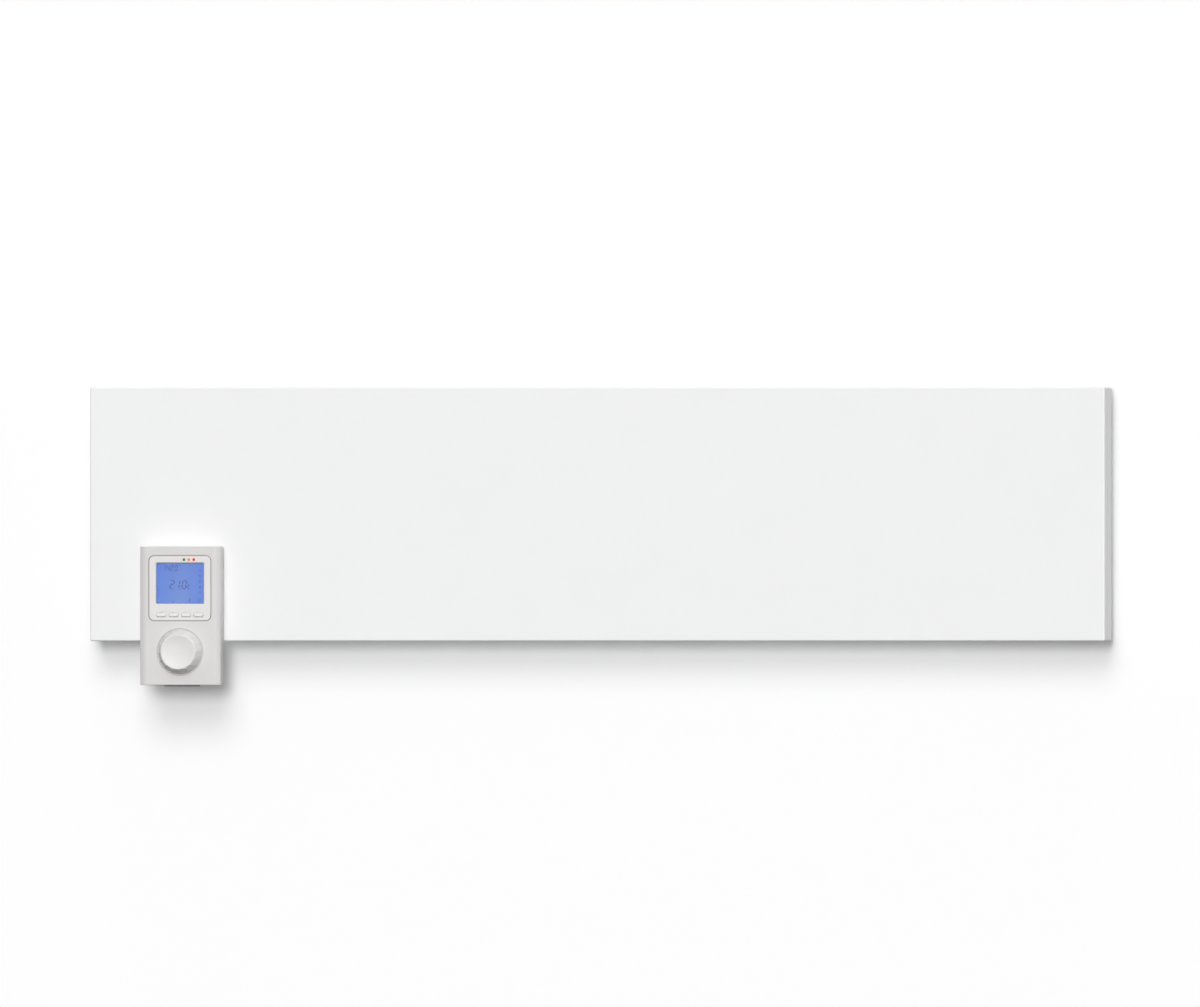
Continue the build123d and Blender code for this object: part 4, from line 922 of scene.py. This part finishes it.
raised = bmesh.ops.extrude_face_region(form, geom=rib_faces(form))
for vert in [item for item in raised["geom"] if isinstance(item, bmesh.types.BMVert)]:
    arm = vert.co - DIAL_AXIS
    arm.y = 0.0
    vert.co += arm.normalized() * RIB_HEIGHT * MM
make_piece(form, "dial", finishes["knob_white"], "knob", ["dial_knob"])

# %% [markdown]
# ## The four keys
# Each key is a pill whose face slopes: its top edge is level with the insert and its lower edge
# stands out, so that a finger finds it and light from above leaves its underside dark. A block is
# rounded into a pill by bevelling its four corner edges. Its face is inset, the inner face is
# pulled out more at the foot than at the top, and its rim is softened. Behind it are the flange
# that keeps the key in and the stem that reaches its switch.

# %% Make the keys
KEY_WIDTH = 11.2
KEY_HEIGHT = 4.7
KEY_UP = 0.9
KEY_PITCH = 14.6
KEY_CORNER = 2.05
KEY_OUT = 86.05
KEY_STAND = 1.33
KEY_TOP_STAND = 0.15
KEY_SLOPE = 1.15
KEY_REAR = 83.7
KEY_SOFT = 0.22
FLANGE_THICK = 0.8
FLANGE_MARGIN = 2.0
STEM_RADIUS = 1.6
STEM_END = 81.1
KEY_BODIES = ("key_one", "key_two", "key_three", "key_four")
FACING_ROOM = Matrix.Rotation(math.pi / 2, 3, "X")


def block(form, centre, size):
    """A block of the given size in millimetres, and its vertices."""
    made = bmesh.ops.create_cube(form, size=1.0)["verts"]
    bmesh.ops.scale(form, vec=Vector(size) * MM, verts=made)
    bmesh.ops.translate(form, vec=centre, verts=made)
    return made


def depth_edges(verts):
    """Edges between these vertices that run out from the wall."""
    found = []
    for edge in {edge for vert in verts for edge in vert.link_edges}:
        run = (edge.verts[1].co - edge.verts[0].co).normalized()
        if abs(run.y) > 0.99:
            found.append(edge)
    return found


def soften(form, edges, width, segments):
    """Bevels edges by a width in millimetres."""
    bmesh.ops.bevel(
        form, geom=edges, offset=width * MM, offset_type="OFFSET", affect="EDGES",
        segments=segments, profile=0.5, material=-1, clamp_overlap=True,
    )


def make_key(number, across):
    """One sloping key with its flange and stem."""
    form = bmesh.new()
    depth = KEY_OUT - KEY_REAR
    cap = block(
        form, at(across, KEY_UP, KEY_REAR + depth / 2), (KEY_WIDTH, depth, KEY_HEIGHT)
    )
    soften(form, depth_edges(cap), KEY_CORNER, segments=7)
    face = min(form.faces, key=lambda side: side.calc_center_median().y)
    bmesh.ops.inset_region(form, faces=[face], thickness=KEY_SLOPE * MM, use_even_offset=True)
    low = min(vert.co.z for vert in face.verts)
    high = max(vert.co.z for vert in face.verts)
    for vert in face.verts:
        rise = (vert.co.z - low) / (high - low)
        vert.co.y -= (KEY_STAND - (KEY_STAND - KEY_TOP_STAND) * rise) * MM
    soften(form, list(face.edges), KEY_SOFT, segments=3)
    block(
        form, at(across, KEY_UP, KEY_REAR - FLANGE_THICK / 2),
        (KEY_WIDTH + FLANGE_MARGIN, FLANGE_THICK, KEY_HEIGHT + FLANGE_MARGIN),
    )
    stem = bmesh.ops.create_cone(
        form, cap_ends=True, segments=24, radius1=STEM_RADIUS * MM, radius2=STEM_RADIUS * MM,
        depth=(KEY_REAR - FLANGE_THICK - STEM_END) * MM,
    )["verts"]
    bmesh.ops.rotate(form, verts=stem, matrix=FACING_ROOM)
    middle = (KEY_REAR - FLANGE_THICK + STEM_END) / 2
    bmesh.ops.translate(form, verts=stem, vec=at(across, KEY_UP, middle))
    make_piece(
        form, f"sloping_key_{number}", finishes["insert_white"], KEY_BODIES[number - 1],
        [f"key_{number}"],
    )


key_spots = [(number - 1.5) * KEY_PITCH for number in range(4)]
for number, across in enumerate(key_spots, start=1):
    make_key(number, across)
print("keys stand at", key_spots)

# %% [markdown]
# ## What the display shows
# A liquid crystal display draws with fixed dark shapes: bars for the digits and small printed
# signs. The bars are six-cornered slips, thin as paper, that lie on the lit cell behind the
# window. The digits lean, which is a shear of the finished slips. The window itself is a pane
# with softened edges that starts just in front of them.

# %% The display ink
ink = make_lit(
    "display ink", (0.001, 0.004, 0.02), (0.012, 0.050, 0.29), 1.0, 0.4, (0.12, 300.0),
    relief=(grain, 2500.0), bump=(0.04, 0.03), drift=(0.10, 300.0),
)
print("ink is ready")

# %% Bars and digits
INK_OUT = 82.62
INK_THICK = 0.14
LEAN = 0.14
BAR_GAP = 0.12
SEGMENTS = {"0": "abcdef", "1": "bc", "2": "abged", "4": "fgbc", "c": "ged"}


def outline_slip(form, points):
    """A thin slip from an outline of (across, up) points on the display."""
    face = form.faces.new([form.verts.new(at(across, up, INK_OUT)) for across, up in points])
    grown = bmesh.ops.extrude_face_region(form, geom=[face])["geom"]
    top = [item for item in grown if isinstance(item, bmesh.types.BMVert)]
    bmesh.ops.translate(form, verts=top, vec=(0.0, -INK_THICK * MM, 0.0))


def bar(form, start, end, width):
    """A six-cornered bar between two points."""
    first, last = Vector(start), Vector(end)
    run = (last - first).normalized()
    side = Vector((-run.y, run.x)) * width / 2
    taper = run * min(width / 2, (last - first).length / 3)
    outline_slip(form, [
        first, first + taper + side, last - taper + side,
        last, last - taper - side, first + taper - side,
    ])


def digit(form, sign, left, foot, width, height, stroke):
    """A seven-bar digit whose lower left corner is (left, foot), leaning to the right."""
    right, top, middle = left + width, foot + height, foot + height / 2
    ends = {
        "a": ((left, top), (right, top)), "b": ((right, top), (right, middle)),
        "c": ((right, middle), (right, foot)), "d": ((left, foot), (right, foot)),
        "e": ((left, foot), (left, middle)), "f": ((left, middle), (left, top)),
        "g": ((left, middle), (right, middle)),
    }
    for letter in SEGMENTS[sign]:
        start, end = (Vector(point) for point in ends[letter])
        run = (end - start).normalized() * stroke * BAR_GAP
        pair = [
            point + Vector(((point.y - foot) * LEAN, 0.0)) for point in (start + run, end - run)
        ]
        bar(form, *pair, stroke)


def ring(form, across, up, outer, inner, sides):
    """A flat ring on the display."""
    for side in range(sides):
        corners = []
        for turn, radius in ((side, outer), (side + 1, outer), (side + 1, inner), (side, inner)):
            angle = turn / sides * math.tau
            corners.append((across + radius * math.cos(angle), up + radius * math.sin(angle)))
        outline_slip(form, corners)


print("digit tools are ready")

# %% [markdown]
# ### The digits and the small signs
# A clock stands in the upper left corner and the temperature in the middle. Small generic signs
# line the right side and the foot, and a scale of short bars runs down the left side. Each row
# below gives the place first, then the sizes.

# %% Draw the display
DIGITS = [
    ("1420", (-20.9, -16.3, -12.2, -6.9), (52.2, 2.9, 6.2, 1.05)),
    ("21", (-12.6, -6.2), (31.6, 4.4, 9.2, 1.6)),
    ("0", (1.7,), (31.6, 4.3, 9.2, 1.6)),
    ("c", (8.0,), (31.6, 2.9, 7.4, 1.3)),
]
SIGNS = [
    (ring, (0.1, 31.0, 0.75, 0.1, 10)),
    (ring, (8.0, 38.6, 0.9, 0.35, 12)),
    (outline_slip, ([(9.6, 57.4), (13.0, 57.4), (11.3, 59.0)],)),
    (ring, (22.6, 17.9, 2.0, 1.35, 20)),
    (bar, ((11.0, 15.6), (11.0, 20.6), 1.0)),
    (ring, (11.0, 16.2, 1.0, 0.1, 12)),
    (ring, (-9.0, 16.0, 0.9, 0.1, 12)),
    (ring, (-22.4, 15.9, 0.6, 0.1, 10)),
    (bar, ((21.0, 52.6), (24.4, 53.1), 0.55)),
    (bar, ((21.0, 51.4), (24.4, 51.9), 0.55)),
    (ring, (22.9, 46.3, 1.15, 0.1, 12)),
    (bar, ((21.2, 41.6), (23.9, 39.6), 0.8)),
    (bar, ((23.9, 39.6), (21.2, 37.6), 0.8)),
    (outline_slip, ([(22.9, 31.6), (24.3, 33.1), (22.9, 34.6), (21.5, 33.1)],)),
    (bar, ((20.8, 27.4), (24.6, 27.4), 0.7)),
    (bar, ((21.4, 25.4), (24.0, 25.4), 0.7)),
]
SCALE_BARS = 7
SCALE_TOP = 49.8
SCALE_PITCH = 3.15
form = bmesh.new()
for signs, lefts, (foot, width, height, stroke) in DIGITS:
    for sign, left in zip(signs, lefts):
        digit(form, sign, left, foot, width, height, stroke)
for draw, row in SIGNS:
    draw(form, *row)
for step in range(SCALE_BARS):
    up = SCALE_TOP - step * SCALE_PITCH
    bar(form, (-25.2, up), (-23.6, up), 0.8)
make_piece(form, "display_signs", ink, "controller")

# %% The window pane
PANE_REAR = 82.85
PANE_FRONT = 84.0
PANE_WIDTH = 58.9
PANE_HEIGHT = 50.1
PANE_CORNER = 1.2
PANE_EDGE = 0.2
PANE_TURN = 1.2
form = bmesh.new()
pane = block(
    form, at(0.0, WINDOW_UP, (PANE_REAR + PANE_FRONT) / 2),
    (PANE_WIDTH, PANE_FRONT - PANE_REAR, PANE_HEIGHT),
)
soften(form, depth_edges(pane), PANE_CORNER, segments=4)
sharp = [edge for edge in form.edges if edge.calc_face_angle(0.0) > PANE_TURN]
soften(form, sharp, PANE_EDGE, segments=2)
make_piece(
    form, "window_pane", finishes["clear_window"], "controller",
    ["display_window"], flat=True,
)

# %% [markdown]
# ## Pointers and marks on the insert
# Above each key the insert has a small raised triangle, and under the window four tiny moulded
# dots line up with them. They stand only a fraction of a millimetre proud and show by their
# light and shade, so they are short prisms and flat domes in the insert's own finish.

# %% Raise the pointers and dots
POINTER_UP = 4.9
POINTER_SIZE = 1.9
POINTER_TAPER = 0.55
POINTER_HEIGHT = 0.32
DOT_UP = 10.4
DOT_RADIUS = 0.42
DOT_FLATNESS = 0.5
form = bmesh.new()
for across in key_spots:
    made = bmesh.ops.create_cone(
        form, cap_ends=True, segments=3, radius1=POINTER_SIZE * MM,
        radius2=POINTER_SIZE * POINTER_TAPER * MM, depth=2 * POINTER_HEIGHT * MM,
    )["verts"]
    bmesh.ops.rotate(form, verts=made, matrix=FACING_ROOM)
    bmesh.ops.translate(form, verts=made, vec=at(across, POINTER_UP, INSERT_FRONT))
for across in key_spots:
    made = bmesh.ops.create_uvsphere(
        form, u_segments=16, v_segments=8, radius=DOT_RADIUS * MM
    )["verts"]
    bmesh.ops.scale(form, vec=(1.0, DOT_FLATNESS, 1.0), verts=made)
    bmesh.ops.translate(form, verts=made, vec=at(across, DOT_UP, INSERT_FRONT))
make_piece(form, "insert_marks", finishes["insert_white"], "controller")

# %% [markdown]
# ## The wall, the floor and the light
# The setting is plain white, with the panel's soft shadow falling on a wall close behind it. Two
# things make that: a wall plane that is there for the camera, and only from the room's side, so
# the back of the heater can be looked at too; and a pale floor well below. Both add a little
# light of their own, so that they reach white while the shadow stays. To light that has bounced
# the wall is a dark screen, and the floor is dark to all but the camera, so that they hardly
# light the heater.

# %% Wall and floor
WALL_SIZE = 9.0
FLOOR_UP = -0.75
WALL_GREY = 0.90
WALL_GLOW = 0.15
FLOOR_GREY = (0.12, 0.86)
FLOOR_GLOW = (0.06, 0.22)


def flat_stage(name, corners, finish):
    """A four-cornered plane that belongs to the stage."""
    form = bmesh.new()
    form.faces.new([form.verts.new(corner) for corner in corners])
    plane = mesh_object(form, name, finish)
    plane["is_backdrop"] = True
    return plane


def open_paint(name):
    """A matt paint with a light of its own: material, tree, both shaders, their sum, the end."""
    material, tree = open_material(name)[:2]
    tree.nodes.clear()
    matt = add_node(tree, "BsdfDiffuse")
    light = add_node(tree, "Emission")
    both = add_node(tree, "AddShader")
    tree.links.new(matt.outputs["BSDF"], both.inputs[0])
    tree.links.new(light.outputs["Emission"], both.inputs[1])
    end = add_node(tree, "OutputMaterial").inputs["Surface"]
    return material, tree, matt, light, both.outputs["Shader"], end


def wall_paint():
    """Paint that the camera sees from the front, and that stops light after a bounce."""
    material, tree, matt, light, both, end = open_paint("wall paint")
    matt.inputs["Color"].default_value = (WALL_GREY, WALL_GREY, WALL_GREY, 1.0)
    light.inputs["Strength"].default_value = WALL_GLOW
    ray = add_node(tree, "LightPath").outputs
    behind = add_node(tree, "NewGeometry").outputs["Backfacing"]
    later = math_node(tree, "GREATER_THAN", ray["Diffuse Depth"], 0.5)
    shading = math_node(tree, "MULTIPLY", later, ray["Is Shadow Ray"])
    stops = math_node(tree, "MAXIMUM", shading, ray["Is Camera Ray"])
    seen = math_node(tree, "MULTIPLY", math_node(tree, "SUBTRACT", 1.0, behind), stops)
    clear = add_node(tree, "BsdfTransparent")
    choose = add_node(tree, "MixShader", Fac=seen)
    tree.links.new(clear.outputs["BSDF"], choose.inputs[1])
    tree.links.new(both, choose.inputs[2])
    tree.links.new(choose.outputs["Shader"], end)
    return material


def floor_paint():
    """Paint that is pale to the camera and throws little light back up."""
    material, tree, matt, light, both, end = open_paint("floor paint")
    seen = add_node(tree, "LightPath").outputs["Is Camera Ray"]
    feed(tree, matt.inputs["Color"], remap(tree, seen, 0.0, 1.0, *FLOOR_GREY))
    feed(tree, light.inputs["Strength"], remap(tree, seen, 0.0, 1.0, *FLOOR_GLOW))
    tree.links.new(both, end)
    return material


half = WALL_SIZE / 2
wall = flat_stage(
    "wall",
    [(-half, 0.0, FLOOR_UP), (half, 0.0, FLOOR_UP), (half, 0.0, half), (-half, 0.0, half)],
    wall_paint(),
)
flat_stage(
    "floor",
    [(x, y, FLOOR_UP) for x, y in ((-half, -half), (half, -half), (half, half), (-half, half))],
    floor_paint(),
)
print("wall faces", tuple(round(value) for value in wall.data.polygons[0].normal))

# %% [markdown]
# ## Lamps and world
# The light is soft and plain. Most of it comes from the front and lights the face evenly. A
# second soft light higher up models the dial and draws the shadow under the panel, and a weak
# one overhead lights what faces up. One at the side lifts the panel's end, and one behind lights
# the back for other views. Together they bring a face that looks at the room to just about the
# brightness that its colour is written with.

# %% Lamps
LAMPS = [
    ("front light", 3.0, 8.0, 1.45, 16.0),
    ("high light", 2.0, 32.0, 1.10, 30.0),
    ("top light", 0.0, 86.0, 0.35, 14.0),
    ("side light", 93.0, 8.0, 1.15, 20.0),
    ("rear light", 200.0, 30.0, 1.7, 30.0),
]
LAMP_DISTANCE = 3.0


def soft_sun(name, azimuth, elevation, strength, softness):
    """A sun that shines from a direction: azimuth 0 is the room, 90 is the right."""
    lamp = bpy.data.lights.new(name, "SUN")
    lamp.energy = strength
    lamp.angle = math.radians(softness)
    turn, rise = math.radians(azimuth), math.radians(elevation)
    source = Vector((
        math.sin(turn) * math.cos(rise), -math.cos(turn) * math.cos(rise), math.sin(rise),
    ))
    sun = add_object(name, lamp)
    sun.rotation_euler = source.to_track_quat("Z", "Y").to_euler()
    sun.location = source * LAMP_DISTANCE


for lamp_row in LAMPS:
    soft_sun(*lamp_row)
print("lamps placed:", len(LAMPS))

# %% The world
WORLD_LEVEL = 0.20
world = bpy.data.worlds.new("studio")
bpy.context.scene.world = world
world.use_nodes = True
tree = world.node_tree
background = tree.nodes["Background"]
ray = add_node(tree, "LightPath").outputs
seen = math_node(tree, "MAXIMUM", ray["Is Camera Ray"], ray["Is Glossy Ray"])
seen = math_node(tree, "MAXIMUM", seen, ray["Is Transmission Ray"])
level = remap(tree, seen, 0.0, 1.0, WORLD_LEVEL, 1.0)
feed_all(tree, background, Color=(1.0, 1.0, 1.0, 1.0), Strength=level)
print("world level", WORLD_LEVEL)

# %% [markdown]
# ## The camera
# The picture is taken from far away and a little to the right, so its lines stay parallel: the
# right side of the panel shows as a thin strip and nothing gets smaller with distance. An
# orthographic camera does that exactly. Its width comes from the length of the panel in pixels.

# %% Place the camera
CAMERA_TURN = math.radians(11.0)
PICTURE_WIDTH = 1200
MM_PER_PIXEL = 1.1611
AIM_ACROSS = -8.64
AIM_UP = 12.3
CAMERA_DISTANCE = 3.0
camera_data = bpy.data.cameras.new("camera")
camera_data.type = "ORTHO"
camera_data.ortho_scale = PICTURE_WIDTH * MM_PER_PIXEL * MM
camera = add_object("camera", camera_data)
right = Vector((math.cos(CAMERA_TURN), math.sin(CAMERA_TURN), 0.0))
back = Vector((math.sin(CAMERA_TURN), -math.cos(CAMERA_TURN), 0.0))
target = right * AIM_ACROSS * MM + Vector((0.0, 0.0, AIM_UP * MM))
camera.location = target + back * CAMERA_DISTANCE
camera.rotation_euler = (-back).to_track_quat("-Z", "Y").to_euler()
bpy.context.scene.camera = camera
bpy.context.scene.view_settings.view_transform = "Standard"
print("camera sees a width of", round(camera_data.ortho_scale, 4), "metres")

# %% [markdown]
# ## Closing the scene
# Both boxes are printed: the plain frame's and the dressed heater's. The frame's size is the
# law: the dressed heater has to stay inside the box of the plain one.

# %% Write the sizes and finish
scene_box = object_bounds()
for label, box in (("frame", cad_box), ("scene", scene_box)):
    print(label, "box", [round(value, 4) for corner in box for value in corner])
